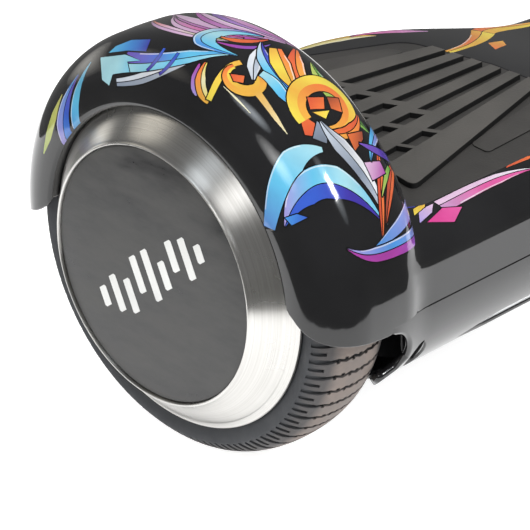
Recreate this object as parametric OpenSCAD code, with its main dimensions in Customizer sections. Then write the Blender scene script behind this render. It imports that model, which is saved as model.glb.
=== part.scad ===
/* [Overall layout] */
// Distance of each wheel's middle plane from the middle of the board
wheel_offset = 258; // [250:1:270]
// Height of the wheel axles above the ground, equal to the tyre radius
axle_height = 85; // [84:0.5:86]
// Height of the joint between the upper and the lower shell
seam_height = 78.5; // [77:0.5:80]

/* [Body shells] */
// Half of the board's width across the foot decks
body_half_width = 91; // [89:0.5:92]
// Half of the board's width at the waist
waist_half_width = 52; // [50:1:56]
// Height of the foot decks
deck_height = 112.5; // [112:0.5:113]
// Height of the top of the waist
waist_top = 99; // [98:0.5:101]
// Height of the underside
belly_height = 35; // [34:0.5:36]
// Height of the underside at the waist
waist_belly = 45; // [44:0.5:47]
// Wall thickness of the shells
shell_wall = 3; // [2.6:0.1:3.2]
// Thickness of the deck, including the recess for the foot mat
deck_wall = 5.5; // [5.3:0.1:5.7]
// Radius of the rounded edge between deck and side
deck_edge_radius = 18; // [16:0.5:19]
// Radius of the rounded edge between side and underside
belly_edge_radius = 43; // [40:0.5:43]
// Distance from the middle of the board to each half's inner end
half_gap = 1.2; // [1:0.1:1.5]

/* [Fenders] */
// Outer radius of the fender's crown
fender_radius = 94.6; // [94:0.1:95]
// Wall thickness of the fender
fender_wall = 2.8; // [2.5:0.1:3]
// Radius of the opening that shows the wheel's side
fender_opening_radius = 67.5; // [67:0.1:68]
// Distance of the fender's outer side from the wheel's middle plane
fender_outer_side = 26.8; // [26.5:0.1:27.5]
// Radius of the rounded edge between the fender's outer side and its crown
fender_edge_radius = 22; // [20:0.5:22.5]
// Angle from the top down to each lower end of the fender
fender_end_angle = 95; // [94:0.5:96]

/* [Foot mats] */
// Height of the top of the mat's ribs
mat_top = 114.6; // [114:0.1:115]
// Height of the floor between the mat's ribs
mat_floor = 112.6; // [112.4:0.1:112.8]
// Height of the recess in the deck that holds the mat
mat_recess = 110; // [110:0.1:110.2]
// Spacing of the slots at the waist end of the mat
slot_pitch = 11; // [10:0.5:11.5]
// Growth of the slot spacing per millimetre towards the wheel
slot_fan = 0.072; // [0.06:0.002:0.08]

/* [Wheels] */
// Half of the tyre's width
tyre_half_width = 21; // [20:0.5:21.5]
// Radius where the tyre sits on the hub
tyre_seat_radius = 64; // [63:0.5:65]
// Outer radius of the metal trim ring
trim_ring_radius = 70.2; // [70:0.1:70.5]
// Radius of the cover disc in the middle of the wheel
hub_cap_radius = 54.5; // [54:0.1:55]
// Distance of the trim ring's lip from the wheel's middle plane
trim_lip_offset = 34; // [33:0.5:35]
// Number of teeth on the motor's stator
stator_teeth = 27; // [24:3:30]
// Number of magnets in the rotor
magnet_count = 30; // [26:2:32]

/* [Foot sensors] */
// Distance of the foot sensors' plungers from the middle of the board
plunger_station = 140; // [134:1:146]
// Distance of each plunger from the middle of the deck
plunger_side = 46; // [44:1:48]
// Travel of a plunger
plunger_travel = 2; // [1.5:0.1:2.2]

/* [Button and charging port] */
// Distance of the power button from the middle of the board
button_station = 130; // [128:1:134]
// Distance of the charging port from the middle of the board
port_station = 164; // [160:1:165]
// Height of the button and the charging port
panel_height = 63.5; // [63:0.5:64]
// Travel of the power button
button_travel = 1.2; // [0.8:0.1:1.4]

/* [Pivot between the halves] */
// Height of the pivot tube's axis
pivot_height = 75; // [74:0.5:76]
// Outer radius of the pivot tube
pivot_radius = 12; // [11.5:0.5:12]
// Largest twist of one half against the other, in degrees each way
twist_limit = 12; // [8:1:12]

/* [Hidden] */
SIDED = ["upper_shell", "lower_shell", "foot_mat", "side_frame", "axle_clamp", "clamp_screws", "tyre",
    "hub_shell", "trim_ring", "hub_cap", "motor_cover", "magnet_ring", "stator", "windings", "axle",
    "motor_bearings", "gyro_board", "front_plunger", "rear_plunger", "headlight_lens",
    "headlight_board", "status_lens", "shell_screws"];
$fn = 96;
eps = 0.01;
run_gap = 0.05;

// Stations: distances from the middle of the board, measured outwards
well_wall_outer = 225;
well_wall_inner = well_wall_outer - shell_wall;
upper_outer_end = 250;
lower_outer_end = 252;
waist_start = 20;
waist_length = 103;
dip_start = 8;
dip_length = 64;
flare_start = 226;
flare_length = 26;
fender_flare = 3.2;
end_wall = half_gap + shell_wall;
deck_underside = deck_height - deck_wall;
belly_inside = belly_height + shell_wall;

// Opening at the lower shell's outer end
mouth_centre = 46;
mouth_length = 20.5;
mouth_height = 28.5;
mouth_lip = 49.5;
mouth_wall = 4;
wheel_arch_radius = 88;
wheel_arch_depth = 26;

// Foot mat, in distances from the middle of the board
mat_waist_end = 83;
mat_wheel_end = 221.5;
mat_half_width = 75;
slab_wheel_end = 206;
slot_share = 0.21;
slot_origin = 90;
mat_peg_radius = 2.5;
mat_pegs = [[206, 30], [100, 20]];

// Frame
frame_bottom = 76;
frame_top = 80;
frame_rib_top = 85;
frame_half_width = 54;
frame_rib = 4;
frame_post_radius = 6;
frame_posts = [[100, 34], [182, 44]];
hub_radius = 17;
hub_inner_end = 3;
hub_outer_end = 62;
block_inner_end = 190;
block_outer_end = 214;
block_half_width = 18;
block_bottom = 69;
clamp_height = 11;
clamp_screw_radius = 2.5;
clamp_screw_offset = 13;

// Wheel and motor, in distances from the wheel's middle plane, measured outwards
ring_base = 18.8;
ring_wall = 1.6;
plate_face = 18.4;
drum_wall = 4;
drum_inner_end = -18.5;
cover_thickness = 3.5;
magnet_thickness = 2.6;
stator_radius = 56.6;
stator_half_length = 10;
stator_bore = 31;
coil_height = 3.5;
axle_end_radius = 6;
axle_core_radius = 11;
axle_seat_radius = 8.5;
axle_grip_radius = 8;
axle_inner_end = -67;
cable_bore = 3.5;
outer_bearing = [14, 8];
inner_bearing = [17.5, 10];
outer_bearing_at = 6;
inner_bearing_at = -25.5;

// Pivot
tube_bore = 8.5;
tube_half_length = 63;
bush_radius = 15;
bush_flange_radius = 16.8;
bush_length = 12;
circlip_at = 61.6;
stop_pin_radius = 3;
stop_pin_at = 30;

// Battery
battery_from = 70;
battery_to = 185;
battery_half_width = 47;
battery_bottom = 40.2;
battery_top = 75.5;
battery_edge = 5;
bracket_from = 114;
bracket_to = 134;
bracket_thickness = 1.3;

// Screws between the shells: station and side of each pair, and the top of the post it turns into
shell_screw_places = [[227, 83, 97], [150, 62, 107.5], [52, 46, 104]];
well_radius = 4.7;
boss_radius = 5.8;
post_radius = 3.8;
screw_radius = 2;
screw_seat = 66;
screw_seat_thickness = 3;
screw_tip = 88;

// Headlight on the front edge of the underside
light_tip = 198;
light_inner_end = 112;
light_angle = 42;
light_half_height = 6;
light_gap = 0.3;
light_depth_from = 36;
light_depth_to = 60;

// Status light on top of the waist
status_at = 34;
status_half_length = 8;
status_radius = 4;

// Panel with the button and the charging port
panel_face = 82;
panel_thickness = 2.5;
panel_from = 118;
panel_to = 176;
panel_bottom = 53.5;
panel_top = 76.5;
button_radius = 6.5;
bezel_radius = 8;
port_inner_radius = 6.6;
port_radius = 7.9;
port_mouth = 88.5;
cover_face = 88.8;
cover_hinge_height = 74.2;
cover_hinge_y = 89.2;
cover_knuckle = 1.7;

function smooth(t) = let (c = min(max(t, 0), 1)) c * c * (3 - 2 * c);
function half_width(s) = waist_half_width
    + (body_half_width - waist_half_width) * smooth((s - waist_start) / waist_length)
    + fender_flare * smooth((s - flare_start) / flare_length);
function deck_z(s) = waist_top + (deck_height - waist_top) * smooth((s - dip_start) / dip_length);
function belly_z(s) = waist_belly + (belly_height - waist_belly) * smooth((s - dip_start) / dip_length);
function belly_radius(s) = belly_edge_radius * half_width(s) / body_half_width;
function slot_spacing(s) = slot_pitch + slot_fan * (s - slot_origin);

// Points of an arc, whose two radii may differ
function arc(cy, cz, ry, rz, from, to, steps) =
    [for (i = [0 : steps]) let (a = from + (to - from) * i / steps) [cy + ry * cos(a), cz + rz * sin(a)]];

// Section of the upper half of the body, from one side of the seam over the deck to the other
function upper_section(s, wall, top, base) = let (
        w = half_width(s) - wall,
        r = deck_edge_radius - max(wall, top) * 0.8,
        z = deck_z(s) - top)
    concat([[w, base]], arc(w - r, z - r, r, r, 0, 90, 6), arc(r - w, z - r, r, r, 90, 180, 6), [[-w, base]]);

// Section of the lower half of the body, from one side of the seam under the belly to the other
function lower_section(s, wall, base) = let (
        w = half_width(s) - wall,
        r = belly_radius(s) - wall,
        h = seam_height - belly_z(s) - wall)
    concat([[-w, base]], arc(r - w, seam_height, r, h, 180, 270, 8),
           arc(w - r, seam_height, r, h, 270, 360, 8), [[w, base]]);

function stations(from, to) = concat([from], [for (s = [12 : 12 : 132]) if (s > from + 2) s],
    [for (s = [flare_start : 7 : to - 4]) if (s > from + 2) s], [to]);

// Closed solid through a row of sections that stand at the stations
module loft(stations, sections) {
    n = len(sections[0]);
    m = len(stations);
    points = [for (i = [0 : m - 1]) for (p = sections[i]) [stations[i], p[0], p[1]]];
    sides = [for (i = [0 : m - 2]) for (j = [0 : n - 1])
        let (a = i * n + j, b = i * n + (j + 1) % n) each [[a, b + n, b], [a, a + n, b + n]]];
    caps = [[for (j = [0 : n - 1]) j], [for (j = [n - 1 : -1 : 0]) (m - 1) * n + j]];
    polyhedron(points, concat(sides, caps), convexity = 8);
}

module upper_body(from, to, wall, top, base) {
    list = stations(from, to);
    loft(list, [for (s = list) upper_section(s, wall, top, base)]);
}

module lower_body(from, to, wall, base) {
    list = stations(from, to);
    loft(list, [for (s = list) lower_section(s, wall, base)]);
}

// Cylinder along X from one station to another
module rod(r, from, to, y = 0, z = 0) {
    translate([from, y, z]) rotate([0, 90, 0]) cylinder(r = r, h = to - from);
}

// Cylinder along Y
module cross_rod(r, from, to, x, z) {
    translate([x, to, z]) rotate([90, 0, 0]) cylinder(r = r, h = to - from);
}

module block(from, to) {
    translate(from) cube(to - from);
}

// Turns a profile of [radius, distance outwards] about the wheel's axle
module around_axle(from = 0, turn = 360) {
    translate([wheel_offset, 0, axle_height]) rotate([0, 90, 0]) rotate([0, 0, 180 + from])
        rotate_extrude(angle = turn) children();
}

// Ring about the axle between two radii and two distances from the wheel's middle plane
module axle_ring(inner, outer, from, to) {
    around_axle() translate([inner, from]) square([outer - inner, to - from]);
}

module both_sides() {
    children();
    mirror([0, 1, 0]) children();
}

// Outline of the fender from the axle to its skin, moved inwards by inset
module fender_profile(inset, outer_side, inner_side) {
    r = fender_radius - inset;
    outer_edge = fender_edge_radius - inset;
    inner_edge = 24 - inset;
    polygon(concat(
        [[0, inner_side], [0, outer_side], [fender_opening_radius, outer_side]],
        [for (a = [90 : -15 : 0])
            [r + outer_edge * (cos(a) - 1), outer_side + outer_edge * (sin(a) - 1)]],
        [[r + 0.3, -5]],
        [for (a = [0 : -15 : -75])
            [r + inner_edge * (cos(a) - 1), inner_side + inner_edge * (sin(a) + 1)]],
        [[r - inner_edge - 8, inner_side]]));
}

module fender_solid() {
    around_axle(-fender_end_angle, 2 * fender_end_angle)
        fender_profile(0, fender_outer_side, well_wall_inner - wheel_offset);
}

module fender_cavity() {
    around_axle()
        fender_profile(fender_wall, fender_outer_side - fender_wall, well_wall_outer - wheel_offset);
}

module mat_outline(grow) {
    w = mat_half_width + grow;
    near = mat_waist_end - grow;
    far = mat_wheel_end + grow;
    side = concat(arc(far - 10, w - 10, 10, 10, 0, 90, 6), [[150, w]], [[140, w - 1.2]],
        [[108, w - 17]], arc(near + 19, w - 37, 15, 15, 112, 172, 5), [[near, 0]]);
    polygon(concat(side, [for (i = [len(side) - 2 : -1 : 0]) [side[i][0], -side[i][1]]]));
}

// One slot of the mat: line number, start and end station
module mat_slot(line, from, to) {
    function edge(s, sign) = [s, (line + sign * slot_share) * slot_spacing(s)];
    polygon([edge(from, -1), edge(to, -1), edge(to + 2.5, 1), edge(from + 2.5, 1)]);
}

module mat_slab() {
    slab_edge = [[88, 31.5], [slab_wheel_end, 63.5], [slab_wheel_end - 3, 52]];
    difference() {
        polygon(concat(slab_edge, [for (i = [2 : -1 : 0]) [slab_edge[i][0], -slab_edge[i][1]]]));
        for (line = [-2 : 2]) {
            mat_slot(line, mat_waist_end + 1, line == -2 ? 157 : 144);
            mat_slot(line, line == -2 ? 160 : 149, line == -2 ? 176 : 163);
            mat_slot(line, line == -2 ? 178.5 : 167, line == -2 ? 194 : 181);
            if (abs(line) < 2) mat_slot(line, 185, 199);
        }
    }
    both_sides() polygon([[98, 39], [156, 50], [158, 61], [128, 59], [100, 47]]);
}

module foot_mat() {
    translate([0, 0, mat_recess]) linear_extrude(mat_floor - mat_recess) mat_outline(0);
    translate([0, 0, mat_recess]) linear_extrude(mat_top - mat_recess) mat_slab();
    for (p = mat_pegs) both_sides() translate([p[0], p[1], deck_underside])
        cylinder(r = mat_peg_radius, h = mat_recess + 1 - deck_underside);
}

module plunger_holes(r) {
    both_sides() translate([plunger_station, plunger_side, deck_underside - 1]) cylinder(r = r, h = 10);
}

module status_window(grow) {
    translate([status_at, 0, 85]) linear_extrude(40) both_sides()
        translate([0, status_half_length]) circle(r = status_radius + grow);
    block([status_at - status_radius - grow, -status_half_length, 85],
        [status_at + status_radius + grow, status_half_length, 125]);
}

module upper_posts() {
    for (p = shell_screw_places) both_sides()
        translate([p[0], p[1], screw_seat + screw_seat_thickness])
            cylinder(r = post_radius, h = p[2] - screw_seat - screw_seat_thickness);
}

module upper_shell() {
    difference() {
        union() {
            difference() {
                union() {
                    upper_body(half_gap, upper_outer_end, 0, 0, seam_height);
                    fender_solid();
                }
                upper_body(end_wall, well_wall_inner, shell_wall, deck_wall, seam_height - 2);
                fender_cavity();
            }
            upper_posts();
        }
        for (p = shell_screw_places) both_sides()
            translate([p[0], p[1], 60]) cylinder(r = screw_radius, h = screw_tip - 60 + 1);
        axle_ring(0, fender_opening_radius, 0, 60);
        block([0, -120, 0], [lower_outer_end, 120, screw_seat + screw_seat_thickness]);
        difference() {
            block([0, -120, 0], [lower_outer_end, 120, seam_height]);
            for (p = shell_screw_places) both_sides()
                translate([p[0], p[1], 0]) cylinder(r = post_radius, h = 100);
        }
        translate([0, 0, mat_recess]) linear_extrude(20) mat_outline(0.2);
        for (p = mat_pegs) both_sides()
            translate([p[0], p[1], 100]) cylinder(r = mat_peg_radius, h = 20);
        plunger_holes(7 + run_gap);
        status_window(0.15);
        rod(hub_radius + 0.6, 0, end_wall + 1, 0, pivot_height);
        rod(14, well_wall_inner - 1, well_wall_outer + 1, 0, axle_height);
    }
}

// Blade-shaped prism that points at the belly's front edge, for the headlight
module light_blade(grow) {
    translate([0, -(body_half_width - belly_edge_radius), seam_height]) rotate([light_angle - 90, 0, 0])
        translate([0, 0, -light_depth_to]) linear_extrude(light_depth_to - light_depth_from)
            polygon([[light_tip + grow * 4, 0], [light_tip - 22, light_half_height + grow],
                [light_inner_end - grow, light_half_height + grow],
                [light_inner_end - grow, -light_half_height - grow],
                [light_tip - 22, -light_half_height - grow]]);
}

module lower_bosses() {
    intersection() {
        lower_body(half_gap, well_wall_outer + 8, 0.4, seam_height);
        for (p = shell_screw_places) both_sides()
            translate([p[0], p[1], 20]) cylinder(r = boss_radius, h = screw_seat + screw_seat_thickness - 20);
    }
}

// Opening on each side of the wheel: rounded above, with a thin lip left below it
module mouth_cut() {
    rotate([90, 0, 0]) translate([0, 0, -120]) linear_extrude(240)
        polygon(concat(arc(lower_outer_end, mouth_centre, mouth_length, mouth_height, 90, 165, 6),
            [[lower_outer_end + 20, mouth_lip], [lower_outer_end + 20, mouth_centre + mouth_height]]));
}

module lower_shell() {
    difference() {
        union() {
            difference() {
                lower_body(half_gap, lower_outer_end, 0, seam_height);
                lower_body(end_wall, well_wall_inner, shell_wall, seam_height + 2);
                lower_body(well_wall_outer, lower_outer_end + 10, mouth_wall, seam_height + 2);
            }
            lower_bosses();
            if ($children > 0) children(0);
        }
        axle_ring(0, wheel_arch_radius, -wheel_arch_depth, 60);
        mouth_cut();
        for (p = shell_screw_places) both_sides() {
            translate([p[0], p[1], 20]) cylinder(r = well_radius, h = screw_seat - 20);
            translate([p[0], p[1], 20]) cylinder(r = screw_radius + 0.2, h = 80);
            translate([p[0], p[1], screw_seat + screw_seat_thickness])
                cylinder(r = post_radius + 0.3, h = 20);
        }
        rod(hub_radius + 0.6, 0, end_wall + 1, 0, pivot_height);
        rod(14, well_wall_inner - 1, well_wall_outer + 1, 0, axle_height);
        light_blade(light_gap);
        if ($children > 1) children(1);
    }
}

module panel_plate() {
    block([panel_from - 2, panel_face - panel_thickness, panel_bottom - 1.5],
        [panel_to + 2, panel_face, panel_top]);
    for (x = [-6.5, 4.5])
        block([port_station + x, panel_face - 1, cover_hinge_height - 1.6],
            [port_station + x + 2, cover_hinge_y + 1.6, panel_top]);
}

module panel_cuts() {
    difference() {
        block([panel_from, panel_face, panel_bottom], [panel_to, 110, panel_top]);
        for (x = [-6.5, 4.5])
            block([port_station + x, panel_face - 1, cover_hinge_height - 1.6],
                [port_station + x + 2, cover_hinge_y + 1.6, panel_top + 5]);
    }
    cross_rod(bezel_radius, 60, 100, button_station, panel_height);
    cross_rod(port_radius, 60, 87, port_station, panel_height);
    rod(1, port_station - 8, port_station + 8, cover_hinge_y, cover_hinge_height);
}

module headlight_lens() {
    intersection() {
        difference() {
            lower_body(half_gap, well_wall_inner, 0.4, seam_height);
            lower_body(half_gap - 1, well_wall_inner + 1, shell_wall, seam_height + 2);
        }
        light_blade(0);
    }
}

module headlight_board() {
    translate([0, -(body_half_width - belly_edge_radius), seam_height]) rotate([light_angle - 90, 0, 0])
        translate([0, 0, -34]) {
            block([136, -4, 0], [light_tip - 12, 4, 1.6]);
            for (i = [0 : 4]) block([140 + i * 10, -2.5, -1.5], [145 + i * 10, 2.5, 0]);
            for (x = [139, light_tip - 15]) translate([x, 0, 1.6]) cylinder(r = 1.5, h = 2);
        }
}

// The lens follows the slope of the waist at its own place
module status_lens() {
    slope = atan((deck_z(status_at + 3) - deck_z(status_at - 3)) / 6);
    intersection() {
        status_window(0);
        translate([status_at, 0, deck_z(status_at) - 0.2]) rotate([0, -slope, 0])
            block([-20, -30, -4], [20, 30, 0]);
    }
}

module shell_screws() {
    for (p = shell_screw_places) both_sides() translate([p[0], p[1], 0]) difference() {
        union() {
            translate([0, 0, screw_seat - 2.6]) cylinder(r = 3.9, h = 2.6);
            translate([0, 0, screw_seat]) cylinder(r = screw_radius, h = screw_tip - screw_seat);
        }
        translate([0, 0, screw_seat - 3]) cylinder(r = 1.9, h = 2, $fn = 6);
    }
}

module frame_outline(inset) {
    i = inset;
    side = [[46 + i, 30 - i], [72, 38 - i], [104, frame_half_width - i],
        [block_inner_end - i, frame_half_width - i]];
    polygon(concat(side, [for (k = [3 : -1 : 0]) [side[k][0], -side[k][1]]]));
}

module side_frame(stop_slot = false) {
    difference() {
        union() {
            translate([0, 0, frame_bottom]) linear_extrude(frame_top - frame_bottom) difference() {
                frame_outline(0);
                for (x = [76, 158]) translate([x, -18]) square([22, 36]);
                both_sides() translate([122, 28]) square([30, 18]);
            }
            translate([0, 0, frame_bottom]) linear_extrude(frame_rib_top - frame_bottom) difference() {
                frame_outline(0);
                frame_outline(frame_rib);
            }
            rod(hub_radius, hub_inner_end, hub_outer_end, 0, pivot_height);
            block([hub_outer_end - 1, -9, frame_bottom], [80, 9, frame_rib_top]);
            block([block_inner_end - frame_rib, -block_half_width, block_bottom],
                [block_outer_end, block_half_width, axle_height]);
            for (p = frame_posts) both_sides() translate([p[0], p[1], frame_bottom])
                cylinder(r = frame_post_radius, h = deck_underside - frame_bottom);
        }
        rod(stop_slot ? bush_radius : pivot_radius, 0, hub_inner_end + bush_length, 0, pivot_height);
        rod(stop_slot ? pivot_radius + 0.4 : pivot_radius, 0, hub_outer_end + 6, 0, pivot_height);
        rod(stop_slot ? bush_radius : pivot_radius, hub_outer_end - bush_length, hub_outer_end + 1,
            0, pivot_height);
        rod(hub_radius + 0.5, hub_outer_end, hub_outer_end + 6, 0, pivot_height);
        block([0, -70, 50], [hub_inner_end, 70, 120]);
        if (stop_slot)
            block([stop_pin_at - stop_pin_radius - 0.4, -7.4, pivot_height],
                [stop_pin_at + stop_pin_radius + 0.4, 7.4, 120]);
        rod(axle_grip_radius, block_inner_end - 10, block_outer_end + 1, 0, axle_height);
        clamp_holes(block_bottom - 1, axle_height + 1);
    }
}

module clamp_holes(from, to) {
    for (x = [196, 208]) both_sides() translate([x, clamp_screw_offset, from])
        cylinder(r = clamp_screw_radius, h = to - from);
}

module axle_clamp() {
    difference() {
        block([block_inner_end, -block_half_width, axle_height],
            [block_outer_end, block_half_width, axle_height + clamp_height]);
        rod(axle_grip_radius, block_inner_end - 1, block_outer_end + 1, 0, axle_height);
        clamp_holes(axle_height - 1, axle_height + clamp_height + 1);
    }
}

module clamp_screws() {
    for (x = [196, 208]) both_sides() translate([x, clamp_screw_offset, 0]) difference() {
        union() {
            translate([0, 0, block_bottom + 1]) cylinder(r = clamp_screw_radius, h = 26);
            translate([0, 0, axle_height + clamp_height]) cylinder(r = 4.3, h = 5);
        }
        translate([0, 0, axle_height + clamp_height + 2.4]) cylinder(r = 2.3, h = 3, $fn = 6);
    }
}

// Side of the tyre from its rim to the middle of the tread, as radius and distance from its middle
function tyre_side(seat, sign) = [
    [tyre_seat_radius, sign * seat], [70, sign * seat], [76, sign * tyre_half_width],
    for (p = [[77.2, 0.4], [78.6, 1.7], [80, 3.1], [81.4, 4.8], [82.6, 6.7], [83.6, 9], [84.3, 11.8],
        [84.8, 15], [85, 18.5]]) [p[0], sign * (tyre_half_width - p[1])]];

module tyre() {
    outer = tyre_side(plate_face - 0.2, 1);
    around_axle() polygon(concat(tyre_side(-drum_inner_end, -1),
        [for (i = [len(outer) - 1 : -1 : 0]) outer[i]]));
}

module hub_shell() {
    r = tyre_seat_radius;
    b = outer_bearing;
    f = outer_bearing_at;
    around_axle() polygon([
        [r, drum_inner_end], [r, plate_face], [0, plate_face], [0, f + b[1] + 1.5],
        [b[0] - 3, f + b[1] + 1.5],
        [b[0] - 3, f + b[1]], [b[0], f + b[1]], [b[0], f], [b[0] + 4, f], [b[0] + 4, plate_face - 4],
        [r - drum_wall, plate_face - 4], [r - drum_wall, drum_inner_end]]);
}

module trim_ring() {
    w = ring_wall;
    lip = trim_lip_offset;
    around_axle() polygon([
        [tyre_seat_radius - 6, plate_face], [tyre_seat_radius, plate_face],
        [trim_ring_radius, ring_base], [trim_ring_radius, ring_base + w],
        [67.2, 21.6], [66.6, 22.6], [hub_cap_radius + 1.6, lip - 0.7], [hub_cap_radius + 0.9, lip],
        [hub_cap_radius, lip - 0.3], [hub_cap_radius, lip - 3.6], [hub_cap_radius - 4, lip - 3.6],
        [hub_cap_radius - 4, lip - 3.6 - w], [hub_cap_radius + 0.4, lip - 3.6 - w],
        [64.4, ring_base + w], [tyre_seat_radius - 6, ring_base + w]]);
}

module hub_cap() {
    lip = trim_lip_offset;
    around_axle() polygon([[0, lip - 3.6], [hub_cap_radius, lip - 3.6], [hub_cap_radius, lip - 1.5],
        [hub_cap_radius - 0.6, lip - 1], [0, lip - 1]]);
}

module motor_cover() {
    b = inner_bearing;
    f = inner_bearing_at;
    t = cover_thickness;
    difference() {
        around_axle() polygon([
            [b[0], f], [b[0] + 4, f], [b[0] + 5, drum_inner_end - t], [tyre_seat_radius, drum_inner_end - t],
            [tyre_seat_radius, drum_inner_end], [b[0] + 4, drum_inner_end], [b[0] + 4, f + b[1]],
            [b[0], f + b[1]]]);
        for (i = [0 : 5]) translate([wheel_offset, 0, axle_height]) rotate([i * 60, 0, 0])
            translate([-40, 0, 54]) rotate([0, 90, 0]) cylinder(r = 1.6, h = 60);
    }
}

module magnet_ring() {
    r = tyre_seat_radius - drum_wall;
    step = 360 / magnet_count;
    for (i = [0 : magnet_count - 1]) around_axle(i * step, step * 0.86)
        translate([r - magnet_thickness, -14]) square([magnet_thickness, 28]);
}

module stator() {
    step = 360 / stator_teeth;
    translate([wheel_offset - stator_half_length, 0, axle_height]) rotate([0, 90, 0]) {
        linear_extrude(2 * stator_half_length) difference() {
            circle(r = stator_radius);
            circle(r = stator_bore);
            for (i = [0 : stator_teeth - 1]) rotate(i * step) {
                translate([40, 0]) polygon([[0, -2.2], [12.6, -3.4], [12.6, 3.4], [0, 2.2]]);
                translate([50, -1]) square([10, 2]);
            }
        }
        linear_extrude(stator_half_length + 3) difference() {
            circle(r = stator_bore);
            circle(r = axle_core_radius);
            for (i = [0 : 5]) rotate(i * 60 + 30) translate([21.5, 0]) circle(r = 6);
        }
    }
}

// Coils: a band on each face of the core, over the teeth
module windings() {
    for (side = [-1, 1]) for (i = [0 : stator_teeth - 1])
        translate([wheel_offset + side * (stator_half_length + coil_height / 2), 0, axle_height])
            rotate([(i + 0.5) * 360 / stator_teeth, 0, 0])
                block([-coil_height / 2, -3.6, 40.5], [coil_height / 2, 3.6, 51.5]);
}

module axle() {
    difference() {
        around_axle() polygon([
            [0, axle_inner_end], [axle_grip_radius, axle_inner_end], [axle_grip_radius, -29],
            [axle_seat_radius, -29], [axle_seat_radius, -15], [axle_core_radius, -15],
            [axle_core_radius, 5], [axle_end_radius, 5], [axle_end_radius, 14], [0, 14]]);
        axle_ring(0, cable_bore, axle_inner_end - 1, -18);
    }
}

module motor_bearings() {
    difference() {
        axle_ring(axle_end_radius + 0.04, outer_bearing[0], outer_bearing_at,
            outer_bearing_at + outer_bearing[1]);
        axle_ring(9, 11, outer_bearing_at - 1, outer_bearing_at + 0.8);
        axle_ring(9, 11, outer_bearing_at + outer_bearing[1] - 0.8, 20);
    }
    difference() {
        axle_ring(axle_seat_radius + 0.04, inner_bearing[0], inner_bearing_at,
            inner_bearing_at + inner_bearing[1]);
        axle_ring(11.5, 14.5, inner_bearing_at - 1, inner_bearing_at + 0.8);
        axle_ring(11.5, 14.5, inner_bearing_at + inner_bearing[1] - 0.8, -10);
    }
}

module gyro_board() {
    top = 86;
    difference() {
        union() {
            block([plunger_station - 15, -56, top], [plunger_station + 15, 56, top + 1.6]);
            for (x = [-11, 11]) both_sides() translate([plunger_station + x, 20, frame_top])
                cylinder(r = 2.5, h = top - frame_top);
            block([plunger_station - 5, -5, top + 1.6], [plunger_station + 5, 5, top + 3]);
            both_sides() {
                block([plunger_station - 3, plunger_side - 6, top + 1.6],
                    [plunger_station + 3, plunger_side + 6, top + 11]);
                block([plunger_station + 8, 8, top + 1.6], [plunger_station + 13, 18, top + 6]);
            }
        }
        both_sides() block([plunger_station - 4, plunger_side - 2.5, top + 4.6],
            [plunger_station + 4, plunger_side + 2.5, top + 12]);
    }
}

module plunger() {
    translate([plunger_station, plunger_side, 0]) {
        translate([0, 0, deck_underside - 0.1]) cylinder(r = 7, h = mat_recess - deck_underside);
        translate([0, 0, deck_underside - 3.1]) cylinder(r = 10, h = 3);
        block([-2, -0.8, 94.5], [2, 0.8, deck_underside - 3]);
    }
}

module pivot_tube() {
    difference() {
        rod(pivot_radius, -tube_half_length, tube_half_length + 1, 0, pivot_height);
        rod(tube_bore, -tube_half_length - 1, tube_half_length + 2, 0, pivot_height);
        difference() {
            rod(pivot_radius + 1, circlip_at + 0.9, circlip_at + 2.1, 0, pivot_height);
            rod(pivot_radius - 0.6, circlip_at, circlip_at + 3, 0, pivot_height);
        }
        translate([stop_pin_at, 0, pivot_height]) cylinder(r = stop_pin_radius, h = 20);
    }
}

module pivot_bushes() {
    difference() {
        union() {
            rod(bush_radius, hub_inner_end, hub_inner_end + bush_length, 0, pivot_height);
            rod(bush_radius, hub_outer_end - bush_length, hub_outer_end, 0, pivot_height);
        }
        rod(pivot_radius + run_gap, 0, tube_half_length + 2, 0, pivot_height);
    }
}

module pivot_circlip() {
    difference() {
        rod(15, circlip_at + 0.9, circlip_at + 2.1, 0, pivot_height);
        rod(pivot_radius - 0.6, circlip_at, circlip_at + 3, 0, pivot_height);
        block([circlip_at, -3, pivot_height - 20], [circlip_at + 3, 3, pivot_height]);
    }
}

module stop_pin() {
    translate([stop_pin_at, 0, pivot_height + tube_bore]) cylinder(r = stop_pin_radius, h = 9);
}

module centre_seal() {
    difference() {
        rod(hub_radius, -hub_inner_end, hub_inner_end - 0.3, 0, pivot_height);
        rod(pivot_radius, -4, 4, 0, pivot_height);
    }
}

module main_board() {
    top = 68;
    block([84, -45, top - 1.6], [184, 45, top]);
    for (x = [90, 178]) both_sides() translate([x, 38, top]) cylinder(r = 3, h = frame_bottom - top);
    for (i = [0 : 5]) both_sides() block([96 + i * 12, 22, top - 6], [106 + i * 12, 27, top - 1.6]);
    for (i = [0 : 2]) translate([104 + i * 22, 0, top - 26]) cylinder(r = 8, h = 26 - 1.6);
    block([160, -14, top - 4], [174, 0, top - 1.6]);
    for (y = [-36, -24, 4, 16, 28]) block([92, y, top - 9], [98, y + 8, top - 1.6]);
}

// Pack of cells in shrink wrap, with rounded long edges
module battery_pack() {
    w = battery_half_width;
    r = battery_edge;
    low = battery_bottom + r;
    high = battery_top - r;
    translate([battery_from, 0, 0]) rotate([90, 0, 90]) linear_extrude(battery_to - battery_from)
        polygon(concat(arc(w - r, low, r, r, -90, 0, 4), arc(w - r, high, r, r, 0, 90, 4),
            arc(r - w, high, r, r, 90, 180, 4), arc(r - w, low, r, r, 180, 270, 4)));
}

module battery_bracket() {
    w = battery_half_width + 0.5;
    t = bracket_thickness;
    difference() {
        block([bracket_from, -w - t, battery_bottom - t], [bracket_to, w + t, frame_bottom]);
        block([bracket_from - 1, -w, battery_bottom], [bracket_to + 1, w, frame_bottom + 1]);
    }
    both_sides() block([bracket_from, w, frame_bottom - t], [bracket_to, w + 6, frame_bottom]);
}

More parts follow.
